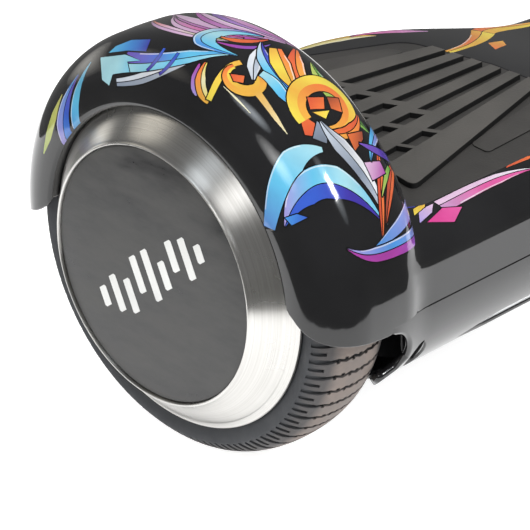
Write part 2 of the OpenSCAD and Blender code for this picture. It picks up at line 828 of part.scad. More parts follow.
module power_button() {
    cross_rod(button_radius, 72, 86.2, button_station, panel_height);
    cross_rod(bezel_radius, 71.9, 73.9, button_station, panel_height);
}

module button_bezel() {
    difference() {
        union() {
            cross_rod(bezel_radius, 74, panel_face + eps, button_station, panel_height);
            cross_rod(bezel_radius + 2, panel_face, panel_face + 1.8, button_station, panel_height);
        }
        cross_rod(button_radius + run_gap, 70, 90, button_station, panel_height);
    }
}

module charge_port() {
    difference() {
        union() {
            cross_rod(port_radius, 70, port_mouth, port_station, panel_height);
            cross_rod(port_radius + 1.1, panel_face, panel_face + 1.8, port_station, panel_height);
        }
        cross_rod(port_inner_radius, 80, 95, port_station, panel_height);
    }
    for (a = [90, 210, 330])
        cross_rod(1, 80 - eps, 84, port_station + 3.6 * cos(a), panel_height + 3.6 * sin(a));
}

module charge_port_cover() {
    difference() {
        union() {
            cross_rod(port_radius + 1, cover_face, cover_face + 1.6, port_station, panel_height);
            block([port_station - 4, cover_face, panel_height], [port_station + 4, cover_face + 1.6,
                cover_hinge_height - 1]);
            block([port_station - 3.5, cover_face, 53.8],
                [port_station + 3.5, cover_face + 1.6, panel_height]);
            rod(cover_knuckle, port_station - 4, port_station + 4, cover_hinge_y, cover_hinge_height);
        }
        rod(1 + run_gap, port_station - 9, port_station + 9, cover_hinge_y, cover_hinge_height);
    }
}

module cover_pin() {
    rod(1, port_station - 6.5, port_station + 6.5, cover_hinge_y, cover_hinge_height);
}

mirror([1, 0, 0]) color("#2a2a2c") upper_shell();  // upper_shell_left
color("#2a2a2c") upper_shell();  // upper_shell_right
mirror([1, 0, 0]) color("#3a3a3c") lower_shell();  // lower_shell_left
color("#3a3a3c") lower_shell() { panel_plate(); panel_cuts(); }  // lower_shell_right
mirror([1, 0, 0]) color("#4a4844") foot_mat();  // foot_mat_left
color("#4a4844") foot_mat();  // foot_mat_right
mirror([1, 0, 0]) color("silver") side_frame();  // side_frame_left
color("silver") side_frame(true);  // side_frame_right
mirror([1, 0, 0]) color("silver") axle_clamp();  // axle_clamp_left
color("silver") axle_clamp();  // axle_clamp_right
mirror([1, 0, 0]) color("dimgray") clamp_screws();  // clamp_screws_left
color("dimgray") clamp_screws();  // clamp_screws_right
mirror([1, 0, 0]) color("#26262a") tyre();  // tyre_left
color("#26262a") tyre();  // tyre_right
mirror([1, 0, 0]) color("silver") hub_shell();  // hub_shell_left
color("silver") hub_shell();  // hub_shell_right
mirror([1, 0, 0]) color("gainsboro") trim_ring();  // trim_ring_left
color("gainsboro") trim_ring();  // trim_ring_right
mirror([1, 0, 0]) color("#3c3c3e") hub_cap();  // hub_cap_left
color("#3c3c3e") hub_cap();  // hub_cap_right
mirror([1, 0, 0]) color("silver") motor_cover();  // motor_cover_left
color("silver") motor_cover();  // motor_cover_right
mirror([1, 0, 0]) color("slategray") magnet_ring();  // magnet_ring_left
color("slategray") magnet_ring();  // magnet_ring_right
mirror([1, 0, 0]) color("gray") stator();  // stator_left
color("gray") stator();  // stator_right
mirror([1, 0, 0]) color("#b87333") windings();  // windings_left
color("#b87333") windings();  // windings_right
mirror([1, 0, 0]) color("lightsteelblue") axle();  // axle_left
color("lightsteelblue") axle();  // axle_right
mirror([1, 0, 0]) color("lightgray") motor_bearings();  // motor_bearings_left
color("lightgray") motor_bearings();  // motor_bearings_right
mirror([1, 0, 0]) color("green") gyro_board();  // gyro_board_left
color("green") gyro_board();  // gyro_board_right
mirror([1, 0, 0]) color("white") mirror([0, 1, 0]) plunger();  // front_plunger_left
color("white") mirror([0, 1, 0]) plunger();  // front_plunger_right
mirror([1, 0, 0]) color("white") plunger();  // rear_plunger_left
color("white") plunger();  // rear_plunger_right
mirror([1, 0, 0]) color("whitesmoke") headlight_lens();  // headlight_lens_left
color("whitesmoke") headlight_lens();  // headlight_lens_right
mirror([1, 0, 0]) color("green") headlight_board();  // headlight_board_left
color("green") headlight_board();  // headlight_board_right
mirror([1, 0, 0]) color("aqua") status_lens();  // status_lens_left
color("aqua") status_lens();  // status_lens_right
mirror([1, 0, 0]) color("dimgray") shell_screws();  // shell_screws_left
color("dimgray") shell_screws();  // shell_screws_right
color("silver") pivot_tube();
color("ivory") pivot_bushes();
color("dimgray") pivot_circlip();
color("silver") stop_pin();
color("#202022") centre_seal();
color("green") main_board();
mirror([1, 0, 0]) color("royalblue") battery_pack();
mirror([1, 0, 0]) color("silver") battery_bracket();
color("#303030") power_button();
color("silver") button_bezel();
color("silver") charge_port();
color("#202022") charge_port_cover();
color("silver") cover_pin();
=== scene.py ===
"""Self balancing hoverboard: visual model, materials, studio and camera."""
import bpy
import bmesh
import math
import numpy as np
from mathutils import Matrix, Vector
from mathutils.geometry import delaunay_2d_cdt


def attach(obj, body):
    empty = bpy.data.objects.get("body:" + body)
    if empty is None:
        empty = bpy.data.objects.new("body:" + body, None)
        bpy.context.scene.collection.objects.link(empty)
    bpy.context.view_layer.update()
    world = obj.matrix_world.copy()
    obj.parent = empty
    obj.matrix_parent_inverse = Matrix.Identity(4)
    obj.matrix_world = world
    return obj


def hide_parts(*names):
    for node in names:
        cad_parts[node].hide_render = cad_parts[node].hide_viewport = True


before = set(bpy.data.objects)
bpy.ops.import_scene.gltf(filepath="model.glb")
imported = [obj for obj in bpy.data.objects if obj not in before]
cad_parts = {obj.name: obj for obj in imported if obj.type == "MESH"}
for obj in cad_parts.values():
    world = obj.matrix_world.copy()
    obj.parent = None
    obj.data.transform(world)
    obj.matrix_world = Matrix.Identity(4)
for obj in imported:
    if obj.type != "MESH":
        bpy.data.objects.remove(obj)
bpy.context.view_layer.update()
MM = 0.001
SIDES = {"left": -1, "right": 1}

# ---------------------------------------------------------------------------
# Body dimensions in millimetres, the same as in the CAD model
# ---------------------------------------------------------------------------
WHEEL_OFFSET = 258.0
AXLE_HEIGHT = 85.0
SEAM_HEIGHT = 78.5
BODY_HALF_WIDTH = 91.0
WAIST_HALF_WIDTH = 52.0
DECK_HEIGHT = 112.5
WAIST_TOP = 103.5
BELLY_HEIGHT = 35.0
WAIST_BELLY = 45.0
DECK_EDGE_RADIUS = 18.0
BELLY_EDGE_RADIUS = 43.0
HALF_GAP = 1.2
FENDER_RADIUS = 94.6
FENDER_OUTER_SIDE = 26.8
FENDER_OPENING_RADIUS = 67.5
FENDER_WALL = 2.8
COVER_WALL = 3.0
FENDER_EDGE_RADIUS = 22.0
WELL_WALL = (222.3, 225.0)
STATUS_AT = 34.0
MAT_RECESS = 110.0
MAT_FLOOR = 112.1
MAT_TOP = 114.6
# Stretches along the board, as (start, length), over which its outline changes
WIDENING = (20.0, 103.0)
RISE = (2.0, 88.0)
DIP = (8.0, 64.0)
FLARE = (226.0, 26.0)
FLARE_WIDTH = 3.2
# Openings in the walls across the body: heights and radii of the pivot's and the axle's
PIVOT_HEIGHT = 75.0
PIVOT_NOTCH = 17.6
AXLE_NOTCH = 14.0
# Walls across the covers: the one at the middle of the board, and the stations of both sections
END_WALL = (1.25, 4.2)
END_SECTION = 1.3
WELL_SECTION = 223.5
# Rounded edge of a cover: how far it stands out by default, and its facets
PLAIN_LIP = 0.3
LIP_STEPS = 4
NO_PRINT = (0.0, 0.0, 0.0, 0.0)
# Limits of the triangulation: how near two points are one, and what counts as no area
MERGE = 1e-5
SLIVER = 1e-9


def smooth(t):
    """Runs from 0 to 1 with soft ends as t does, and stays there beyond."""
    c = np.clip(t, 0.0, 1.0)
    return c * c * (3 - 2 * c)


def part_way(s, stretch):
    """How much of a stretch lies behind station s, from 0 to 1, with soft ends."""
    start, length = stretch
    return smooth((s - start) / length)


def half_width(s):
    span = BODY_HALF_WIDTH - WAIST_HALF_WIDTH
    return WAIST_HALF_WIDTH + span * part_way(s, WIDENING) + FLARE_WIDTH * part_way(s, FLARE)


def deck_z(s):
    return WAIST_TOP + (DECK_HEIGHT - WAIST_TOP) * part_way(s, RISE)


def belly_z(s):
    return WAIST_BELLY + (BELLY_HEIGHT - WAIST_BELLY) * part_way(s, DIP)


# ---------------------------------------------------------------------------
# Small helpers for meshes
# ---------------------------------------------------------------------------
def link(obj):
    """Adds an object to the scene."""
    bpy.context.scene.collection.objects.link(obj)
    return obj


def add_object(name, mesh, material, body, *nodes, slot=None):
    """Puts a mesh in the scene, on its CAD body, in place of CAD nodes."""
    obj = link(bpy.data.objects.new(name, mesh))
    for m in material if isinstance(material, (list, tuple)) else [material]:
        mesh.materials.append(m)
    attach(obj, body)
    if nodes:
        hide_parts(*nodes)
    return obj


def mesh_from(name, points, faces, scale=MM):
    mesh = bpy.data.meshes.new(name)
    mesh.from_pydata([tuple(float(c) * scale for c in p) for p in points], [], faces)
    mesh.update()
    return mesh


def shade_by_angle(mesh, degrees=35):
    """Smooth shading that keeps edges sharper than an angle."""
    bm = bmesh.new()
    bm.from_mesh(mesh)
    for face in bm.faces:
        face.smooth = True
    limit = math.radians(degrees)
    for edge in bm.edges:
        edge.smooth = len(edge.link_faces) == 2 and edge.calc_face_angle(0.0) < limit
    bm.to_mesh(mesh)
    bm.free()


def mirrored(points, side):
    """Right-hand points, or their mirror image for the left half."""
    return [(side * p[0], p[1], p[2]) for p in points]


def arc(cx, cy, radius, start, end, steps):
    """Points of a circular arc, between two angles in degrees."""
    out = []
    for i in range(steps + 1):
        a = math.radians(start + (end - start) * i / steps)
        out.append((cx + radius * math.cos(a), cy + radius * math.sin(a)))
    return out


def densify(path, step):
    """Extra points along a path, so that no piece of it is longer than step."""
    out = [path[0]]
    for a, b in zip(path, path[1:]):
        n = max(1, int(math.ceil(math.dist(a, b) / step)))
        for i in range(1, n + 1):
            out.append(tuple(p + (q - p) * i / n for p, q in zip(a, b)))
    return out


def inside(points, polygon):
    """Which of the points lie inside a closed polygon, by the even-odd rule."""
    poly = np.asarray(polygon, float)
    result = np.zeros(len(points), bool)
    low, high = poly.min(0), poly.max(0)
    near = np.nonzero(((points >= low) & (points <= high)).all(1))[0]
    if len(near) == 0:
        return result
    x, y = points[near, 0], points[near, 1]
    hit = np.zeros(len(near), bool)
    for a, b in zip(poly, np.roll(poly, -1, 0)):
        if a[1] == b[1]:
            continue
        cross = (a[1] > y) != (b[1] > y)
        at = a[0] + (y - a[1]) * (b[0] - a[0]) / (b[1] - a[1])
        hit ^= cross & (x < at)
    result[near] = hit
    return result


def kept_triangles(uv, faces, outline, holes):
    """The triangles inside outline and outside holes, all turned one way, and their doubled areas."""
    tri = np.array(faces, int)
    middle = uv[tri].mean(1)
    keep = inside(middle, outline)
    for hole in holes:
        keep &= ~inside(middle, hole)
    tri = tri[keep]
    a, b, c = uv[tri[:, 0]], uv[tri[:, 1]], uv[tri[:, 2]]
    area = (b[:, 0] - a[:, 0]) * (c[:, 1] - a[:, 1]) - (b[:, 1] - a[:, 1]) * (c[:, 0] - a[:, 0])
    tri[area < 0] = tri[area < 0][:, ::-1]
    return tri, area


def triangulate(outline, holes, lines, spots):
    """Constrained triangles of the region inside outline and outside holes."""
    points, edges = [], []
    for loop in [outline] + holes:
        first = len(points)
        points += [Vector(p) for p in loop]
        edges += [(first + i, first + (i + 1) % len(loop)) for i in range(len(loop))]
    for line in lines:
        first = len(points)
        points += [Vector(p) for p in line]
        edges += [(first + i, first + i + 1) for i in range(len(line) - 1)]
    points += [Vector(p) for p in spots]
    verts, _, faces, _, _, _ = delaunay_2d_cdt(points, edges, [], 0, MERGE)
    uv = np.array([(v[0], v[1]) for v in verts])
    tri, area = kept_triangles(uv, faces, outline, holes)
    return uv, tri[np.abs(area) > SLIVER]


def boundary_edges(tri):
    """Directed edges that belong to one triangle only."""
    directed = np.vstack([tri[:, [0, 1]], tri[:, [1, 2]], tri[:, [2, 0]]])
    known = {(int(a), int(b)) for a, b in directed}
    return [(a, b) for a, b in known if (b, a) not in known]


def surface_normals(surface, u, v, step=0.02):
    """Unit normals of a surface function, from small steps either way."""
    du = surface(u + step, v) - surface(u - step, v)
    dv = surface(u, v + step) - surface(u, v - step)
    n = np.cross(du, dv)
    length = np.linalg.norm(n, axis=1, keepdims=True)
    return n / np.maximum(length, 1e-12)


class Skin:
    """Closed moulded shell: outer skin from a surface function, inner skin one wall inside it.

    The edge between the two is a rounded lip. Corner normals come from the surface itself,
    so that the gloss stays even whatever the triangles are.
    """

    def __init__(self, surface, wall):
        self.surface = surface
        self.wall = wall
        self.fix = None
        self.points = []
        self.faces = []
        self.normals = []
        self.colours = []
        self.uvs = []

    def add_face(self, corners, normals, colours, uvs):
        self.faces.append(corners)
        self.normals += normals
        self.colours += colours
        self.uvs += uvs

    def build(self, outline, holes=(), lines=(), spots=(), coarse=(), paint=None, wall_at=None,
              lip_at=None):
        uv, tri = triangulate(outline, list(holes), list(lines), list(spots))
        outer = self.surface(uv[:, 0], uv[:, 1])
        normal = surface_normals(self.surface, uv[:, 0], uv[:, 1])
        if self.fix:
            normal = self.fix(outer, normal)
        colours = paint(uv, tri) if paint else None
        first = len(self.points)
        self.points += [tuple(p) for p in outer]
        for k, t in enumerate(tri):
            corner = [first + int(i) for i in t]
            shade = [tuple(colours[k][j]) for j in range(3)] if paint else [NO_PRINT] * 3
            self.add_face(corner, [tuple(normal[i]) for i in t], shade, [tuple(uv[i]) for i in t])
        lips = lip_at(uv) if lip_at else np.full(len(uv), PLAIN_LIP)
        self.close(uv, tri, outer, normal, first, list(coarse), outline, list(holes), wall_at, lips)
        return self

    def close(self, uv, tri, outer, normal, first, coarse, outline, holes, wall_at, lips):
        """Inner skin over the same boundary, and the lip between the two."""
        edges = boundary_edges(tri)
        rim = sorted({i for e in edges for i in e})
        place = {v: k for k, v in enumerate(rim)}
        pts = [Vector(uv[i]) for i in rim] + [Vector(p) for p in coarse]
        cdt_edges = [(place[a], place[b]) for a, b in edges]
        verts, _, faces, origins, _, _ = delaunay_2d_cdt(pts, cdt_edges, [], 0, MERGE)
        iuv = np.array([(v[0], v[1]) for v in verts])
        itri, _ = kept_triangles(iuv, faces, outline, holes)
        wall = wall_at(iuv) if wall_at else np.full(len(iuv), self.wall)
        inner_n = surface_normals(self.surface, iuv[:, 0], iuv[:, 1])
        inner = self.surface(iuv[:, 0], iuv[:, 1]) - inner_n * wall[:, None]
        base = len(self.points)
        self.points += [tuple(p) for p in inner]
        for t in itri:
            corner = [base + int(i) for i in t][::-1]
            self.add_face(corner, [tuple(-inner_n[i]) for i in t][::-1], [NO_PRINT] * 3,
                          [tuple(iuv[i]) for i in t][::-1])
        twin = {}
        for k, sources in enumerate(origins):
            for s in sources:
                if s < len(rim):
                    twin[rim[s]] = base + k
        out_dir = {}
        for a, b in edges:
            along = outer[b] - outer[a]
            for i in (a, b):
                side = np.cross(along, normal[i])
                out_dir[i] = out_dir.get(i, 0) + side / max(np.linalg.norm(side), 1e-9)
        steps = LIP_STEPS
        rows = {}
        tilt = {}
        for i in rim:
            o = out_dir[i] / max(np.linalg.norm(out_dir[i]), 1e-9)
            top = outer[i]
            low = np.array(self.points[twin[i]])
            half = (top - low) / 2
            n = normal[i]
            row, tilts = [first + i], [n]
            for k in range(1, steps):
                angle = math.pi * k / steps
                place_k = (top + low) / 2 + half * math.cos(angle) + o * lips[i] * math.sin(angle)
                row.append(len(self.points))
                self.points.append(tuple(place_k))
                tilts.append(n * math.cos(angle) + o * math.sin(angle))
            row.append(twin[i])
            tilts.append(-n)
            rows[i] = row
            tilt[i] = tilts
        for a, b in edges:
            for k in range(steps):
                quad = [rows[b][k], rows[a][k], rows[a][k + 1], rows[b][k + 1]]
                norms = [tilt[b][k], tilt[a][k], tilt[a][k + 1], tilt[b][k + 1]]
                spots = [tuple(uv[b]), tuple(uv[a]), tuple(uv[a]), tuple(uv[b])]
                self.add_face(quad, [tuple(n) for n in norms], [NO_PRINT] * 4, spots)

    def mesh(self, name, side=1):
        """The finished mesh, on the right half or mirrored to the left."""
        faces = self.faces if side == 1 else [f[::-1] for f in self.faces]
        mesh = mesh_from(name, mirrored(self.points, side), faces)
        order = []
        start = 0
        for face in self.faces:
            indices = list(range(start, start + len(face)))
            order += indices if side == 1 else indices[::-1]
            start += len(face)
        normals = np.array(self.normals)[order]
        normals[:, 0] *= side
        colours = np.array(self.colours)[order]
        spots = np.array(self.uvs)[order] * MM
        if len(mesh.loops) != len(order):
            raise RuntimeError(f"{name}: {len(mesh.loops)} corners for {len(order)}")
        layer = mesh.color_attributes.new("print", "FLOAT_COLOR", "CORNER")
        layer.data.foreach_set("color", colours.astype(np.float32).ravel())
        uv_layer = mesh.uv_layers.new(name="skin")
        uv_layer.data.foreach_set("uv", spots.astype(np.float32).ravel())
        for polygon in mesh.polygons:
            polygon.use_smooth = True
        mesh.normals_split_custom_set([tuple(n) for n in normals])
        return mesh


# ---------------------------------------------------------------------------
# Materials
# ---------------------------------------------------------------------------
def material(name, roughness=0.5, metallic=0.0, **sockets):
    """A new Principled material, with its node tree and its shader."""
    mat = bpy.data.materials.new(name)
    mat.use_nodes = True
    tree = mat.node_tree
    shader = tree.nodes["Principled BSDF"]
    shader.inputs["Roughness"].default_value = roughness
    shader.inputs["Metallic"].default_value = metallic
    for key, value in sockets.items():
        shader.inputs[key.replace("_", " ")].default_value = value
    return mat, tree, shader


def node(tree, kind, **values):
    """A shader node with its settings and input values."""
    n = tree.nodes.new(kind)
    for key, value in values.items():
        if hasattr(n, key):
            setattr(n, key, value)
        else:
            n.inputs[key.replace("_", " ")].default_value = value
    return n


def object_coords(tree, scale=(1, 1, 1)):
    coord = node(tree, "ShaderNodeTexCoord")
    mapping = node(tree, "ShaderNodeMapping")
    mapping.inputs["Scale"].default_value = scale
    tree.links.new(coord.outputs["Object"], mapping.inputs["Vector"])
    return mapping.outputs["Vector"]


def noise(tree, vector, scale, detail=4.0, roughness=0.55):
    n = node(tree, "ShaderNodeTexNoise", Scale=scale, Detail=detail, Roughness=roughness)
    tree.links.new(vector, n.inputs["Vector"])
    return n.outputs["Fac"]


def ramp(tree, factor, stops):
    """Colour ramp through (position, colour) stops, all placed one by one."""
    n = node(tree, "ShaderNodeValToRGB")
    elements = n.color_ramp.elements
    while len(elements) < len(stops):
        elements.new(0.5)
    for element, (at, colour) in zip(elements, stops):
        element.position = at
        element.color = (*colour, 1.0)
    tree.links.new(factor, n.inputs["Fac"])
    return n.outputs["Color"]


def spread(tree, factor, low, high, from_low=0.3, from_high=0.7):
    """Rescales a 0 to 1 value to a range, for roughness."""
    n = node(tree, "ShaderNodeMapRange")
    n.inputs["From Min"].default_value = from_low
    n.inputs["From Max"].default_value = from_high
    n.inputs["To Min"].default_value = low
    n.inputs["To Max"].default_value = high
    tree.links.new(factor, n.inputs["Value"])
    return n.outputs["Result"]


def bump(tree, shader, height, strength, distance):
    n = node(tree, "ShaderNodeBump", Strength=strength, Distance=distance)
    tree.links.new(height, n.inputs["Height"])
    tree.links.new(n.outputs["Normal"], shader.inputs["Normal"])


def gloss_plastic(name, base, printed=False):
    """Polished black moulding, with the print film under its lacquer where there is one."""
    mat, tree, shader = material(name, 0.1, Specular_IOR_Level=0.5, Coat_Weight=0.25, Coat_Roughness=0.03)
    vector = object_coords(tree)
    haze = noise(tree, vector, 22.0, 3.0)
    tint = ramp(tree, haze, [(0.35, base), (0.75, tuple(c * 1.5 + 0.002 for c in base))])
    if printed:
        attribute = node(tree, "ShaderNodeVertexColor", layer_name="print")
        faded = node(tree, "ShaderNodeHueSaturation", Saturation=0.96)
        tree.links.new(attribute.outputs["Color"], faded.inputs["Color"])
        cloud = noise(tree, vector, 45.0, 4.0)
        tree.links.new(spread(tree, cloud, 0.48, 0.62), faded.inputs["Value"])
        mix = node(tree, "ShaderNodeMix", data_type="RGBA")
        tree.links.new(attribute.outputs["Alpha"], mix.inputs["Factor"])
        tree.links.new(tint, mix.inputs["A"])
        tree.links.new(faded.outputs["Color"], mix.inputs["B"])
        tree.links.new(mix.outputs["Result"], shader.inputs["Base Color"])
    else:
        tree.links.new(tint, shader.inputs["Base Color"])
    smudge = noise(tree, vector, 60.0, 5.0, 0.6)
    tree.links.new(spread(tree, smudge, 0.04, 0.12), shader.inputs["Roughness"])
    ripple = noise(tree, vector, 35.0, 2.0)
    bump(tree, shader, ripple, 0.08, 0.0004)
    return mat


def rubber(name, base, dust, grain=900.0, depth=0.0003):
    mat, tree, shader = material(name, 0.7, Specular_IOR_Level=0.35)
    vector = object_coords(tree)
    patch = noise(tree, vector, 28.0, 5.0, 0.6)
    colour = ramp(tree, patch, [(0.3, base), (0.72, dust)])
    tree.links.new(colour, shader.inputs["Base Color"])
    tree.links.new(spread(tree, patch, 0.58, 0.8), shader.inputs["Roughness"])
    fine = noise(tree, vector, grain, 3.0)
    bump(tree, shader, fine, 0.35, depth)
    return mat


def mat_rubber():
    """Foot mat: paler tops, and painted shade in the slots: darker floors and nearly black walls."""
    mat, tree, shader = material("mat_rubber", 0.6, Specular_IOR_Level=0.3)
    vector = object_coords(tree)
    patch = noise(tree, vector, 35.0, 5.0, 0.6)
    tops = ramp(tree, patch, [(0.3, (0.046, 0.044, 0.041)), (0.72, (0.066, 0.062, 0.057))])
    # Darker colour of the slot floors: painted shade
    low = ramp(tree, patch, [(0.3, (0.026, 0.025, 0.024)), (0.72, (0.038, 0.036, 0.034))])
    coord = node(tree, "ShaderNodeTexCoord")
    place = node(tree, "ShaderNodeSeparateXYZ")
    tree.links.new(coord.outputs["Object"], place.inputs["Vector"])
    # Lower faces take the darker colour: painted shade in the slots
    height = spread(tree, place.outputs["Z"], 0.0, 1.0, (MAT_FLOOR + 0.3) * MM, (MAT_TOP - 0.5) * MM)
    facing = node(tree, "ShaderNodeSeparateXYZ")
    tree.links.new(coord.outputs["Normal"], facing.inputs["Vector"])
    upright = spread(tree, facing.outputs["Z"], 0.0, 1.0, 0.25, 0.6)
    level = node(tree, "ShaderNodeMix", data_type="RGBA")
    tree.links.new(height, level.inputs["Factor"])
    tree.links.new(low, level.inputs["A"])
    tree.links.new(tops, level.inputs["B"])
    # Upright faces, the walls of the slots, turn nearly black: painted shade
    walls = node(tree, "ShaderNodeMix", data_type="RGBA")
    tree.links.new(upright, walls.inputs["Factor"])
    walls.inputs["A"].default_value = (0.006, 0.006, 0.006, 1)
    tree.links.new(level.outputs["Result"], walls.inputs["B"])
    tree.links.new(walls.outputs["Result"], shader.inputs["Base Color"])
    tree.links.new(spread(tree, patch, 0.42, 0.62), shader.inputs["Roughness"])
    fine = noise(tree, vector, 900.0, 3.0)
    bump(tree, shader, fine, 0.3, 0.0003)
    return mat


def metal(name, base, roughness, streak=(1, 1, 1), scale=160.0, contrast=0.12):
    mat, tree, shader = material(name, roughness, 1.0)
    vector = object_coords(tree, streak)
    grain = noise(tree, vector, scale, 4.0)
    low = tuple(c * (1 - contrast) for c in base)
    tree.links.new(ramp(tree, grain, [(0.3, low), (0.7, base)]), shader.inputs["Base Color"])
    tree.links.new(spread(tree, grain, roughness * 0.8, roughness * 1.25), shader.inputs["Roughness"])
    bump(tree, shader, grain, 0.15, 0.0001)
    return mat


def plastic(name, base, roughness, texture=500.0, strength=0.15, **sockets):
    mat, tree, shader = material(name, roughness, **sockets)
    vector = object_coords(tree)
    patch = noise(tree, vector, 40.0, 4.0)
    lighter = tuple(c * 1.25 + 0.004 for c in base)
    tree.links.new(ramp(tree, patch, [(0.3, base), (0.75, lighter)]), shader.inputs["Base Color"])
    tree.links.new(spread(tree, patch, roughness * 0.85, roughness * 1.2), shader.inputs["Roughness"])
    fine = noise(tree, vector, texture, 3.0)
    bump(tree, shader, fine, strength, 0.0001)
    return mat


def brushed_ring():
    """Stainless steel brushed round the wheel: long thin streaks along the turn."""
    mat, tree, shader = material("brushed_steel", 0.24, 1.0, Anisotropic=0.85, Anisotropic_Rotation=0.25)
    uv = node(tree, "ShaderNodeUVMap", uv_map="lathe")
    split = node(tree, "ShaderNodeMapping")
    split.inputs["Scale"].default_value = (1.2, 900.0, 1.0)
    tree.links.new(uv.outputs["UV"], split.inputs["Vector"])
    streaks = noise(tree, split.outputs["Vector"], 1.6, 5.0, 0.7)
    cloud = noise(tree, object_coords(tree), 30.0, 3.0)
    base = ramp(tree, streaks, [(0.25, (0.50, 0.49, 0.465)), (0.75, (0.70, 0.69, 0.67))])
    tree.links.new(base, shader.inputs["Base Color"])
    tree.links.new(spread(tree, cloud, 0.24, 0.36), shader.inputs["Roughness"])
    tangent = node(tree, "ShaderNodeTangent", direction_type="UV_MAP", uv_map="lathe")
    tree.links.new(tangent.outputs["Tangent"], shader.inputs["Tangent"])
    bump(tree, shader, streaks, 0.1, 0.00005)
    return mat


def cap_plastic():
    """Satin dark plastic of the hub cap, with faint wipe marks."""
    mat, tree, shader = material("cap_satin", 0.36, Specular_IOR_Level=0.55)
    vector = object_coords(tree)
    wipe = noise(tree, object_coords(tree, (1.0, 0.5, 1.6)), 55.0, 6.0, 0.65)
    tree.links.new(ramp(tree, wipe, [(0.36, (0.008, 0.008, 0.0085)), (0.64, (0.042, 0.041, 0.039))]),
                   shader.inputs["Base Color"])
    tree.links.new(spread(tree, wipe, 0.24, 0.54), shader.inputs["Roughness"])
    fine = noise(tree, vector, 1500.0, 2.0)
    bump(tree, shader, fine, 0.12, 0.00006)
    return mat


def tyre_rubber():
    """Black rubber, brown with dust where the tread runs on the ground."""
    mat, tree, shader = material("tyre_rubber", 0.68, Specular_IOR_Level=0.3)
    vector = object_coords(tree)
    dust = node(tree, "ShaderNodeVertexColor", layer_name="dust")
    patch = noise(tree, vector, 130.0, 5.0, 0.65)
    amount = node(tree, "ShaderNodeMath", operation="MULTIPLY")
    tree.links.new(dust.outputs["Color"], amount.inputs[0])
    tree.links.new(spread(tree, patch, 0.65, 1.1), amount.inputs[1])
    mix = node(tree, "ShaderNodeMix", data_type="RGBA")
    mix.inputs["A"].default_value = (0.040, 0.042, 0.046, 1)
    mix.inputs["B"].default_value = (0.185, 0.152, 0.134, 1)
    tree.links.new(amount.outputs["Value"], mix.inputs["Factor"])
    tree.links.new(mix.outputs["Result"], shader.inputs["Base Color"])
    tree.links.new(spread(tree, patch, 0.5, 0.75), shader.inputs["Roughness"])
    fine = noise(tree, vector, 1300.0, 3.0)
    bump(tree, shader, fine, 0.3, 0.0002)
    return mat


def ribbed_lens(name, base, alpha_like=0.5):
    """Clear moulding with fine upright ribs on its inside."""
    mat, tree, shader = material(name, 0.08, Specular_IOR_Level=0.6, Coat_Weight=0.5)
    coord = object_coords(tree, (1, 0, 0))
    wave = node(tree, "ShaderNodeTexWave", wave_type="BANDS", bands_direction="X", Scale=150.0)
    tree.links.new(coord, wave.inputs["Vector"])
    dark = tuple(c * alpha_like for c in base)
    tree.links.new(ramp(tree, wave.outputs["Fac"], [(0.2, dark), (0.8, base)]),
                   shader.inputs["Base Color"])
    bump(tree, shader, wave.outputs["Fac"], 0.3, 0.0003)
    return mat


def circuit(name):
    mat, tree, shader = material(name, 0.35, Specular_IOR_Level=0.5)
    vector = object_coords(tree)
    cells = node(tree, "ShaderNodeTexBrick", Scale=90.0)
    cells.inputs["Color1"].default_value = (0.012, 0.09, 0.035, 1)
    cells.inputs["Color2"].default_value = (0.016, 0.12, 0.045, 1)
    cells.inputs["Mortar"].default_value = (0.03, 0.2, 0.08, 1)
    tree.links.new(vector, cells.inputs["Vector"])
    tree.links.new(cells.outputs["Color"], shader.inputs["Base Color"])
    bump(tree, shader, cells.outputs["Fac"], 0.2, 0.0001)
    return mat


PRINTED = gloss_plastic("printed_gloss", (0.0045, 0.0045, 0.005), printed=True)
BLACK_GLOSS = gloss_plastic("black_gloss", (0.006, 0.006, 0.0065))
MAT_RUBBER = mat_rubber()
TYRE = tyre_rubber()
SOFT_BLACK = rubber("soft_black", (0.012, 0.012, 0.012), (0.03, 0.03, 0.03))
RING_STEEL = brushed_ring()
CAP = cap_plastic()
EMBLEM = plastic("emblem_white", (0.54, 0.54, 0.525), 0.38, Coat_Weight=0.1)
CAST = metal("cast_aluminium", (0.58, 0.58, 0.59), 0.45, scale=320.0)
TURNED = metal("turned_aluminium", (0.62, 0.62, 0.63), 0.3, scale=220.0)
STEEL = metal("bare_steel", (0.55, 0.55, 0.56), 0.28)
DARK_STEEL = metal("black_steel", (0.06, 0.06, 0.065), 0.42)
NICKEL = metal("nickel", (0.68, 0.66, 0.62), 0.18)
CORE = metal("core_steel", (0.33, 0.33, 0.35), 0.4, streak=(8, 1, 1))
COPPER = metal("copper_wire", (0.72, 0.36, 0.18), 0.3, streak=(1, 6, 6))
BOARD = circuit("circuit_board")
SILICONE = rubber("silicone", (0.62, 0.62, 0.60), (0.72, 0.71, 0.68), 700.0)
NYLON = plastic("nylon", (0.72, 0.70, 0.64), 0.5)
WRAP = plastic("battery_wrap", (0.02, 0.07, 0.32), 0.25, 300.0, 0.3)
LENS = ribbed_lens("clear_lens", (0.78, 0.80, 0.82), 0.75)
STATUS = ribbed_lens("smoked_lens", (0.03, 0.10, 0.13), 0.6)
BUTTON = plastic("button_plastic", (0.015, 0.015, 0.016), 0.3, Coat_Weight=0.3)

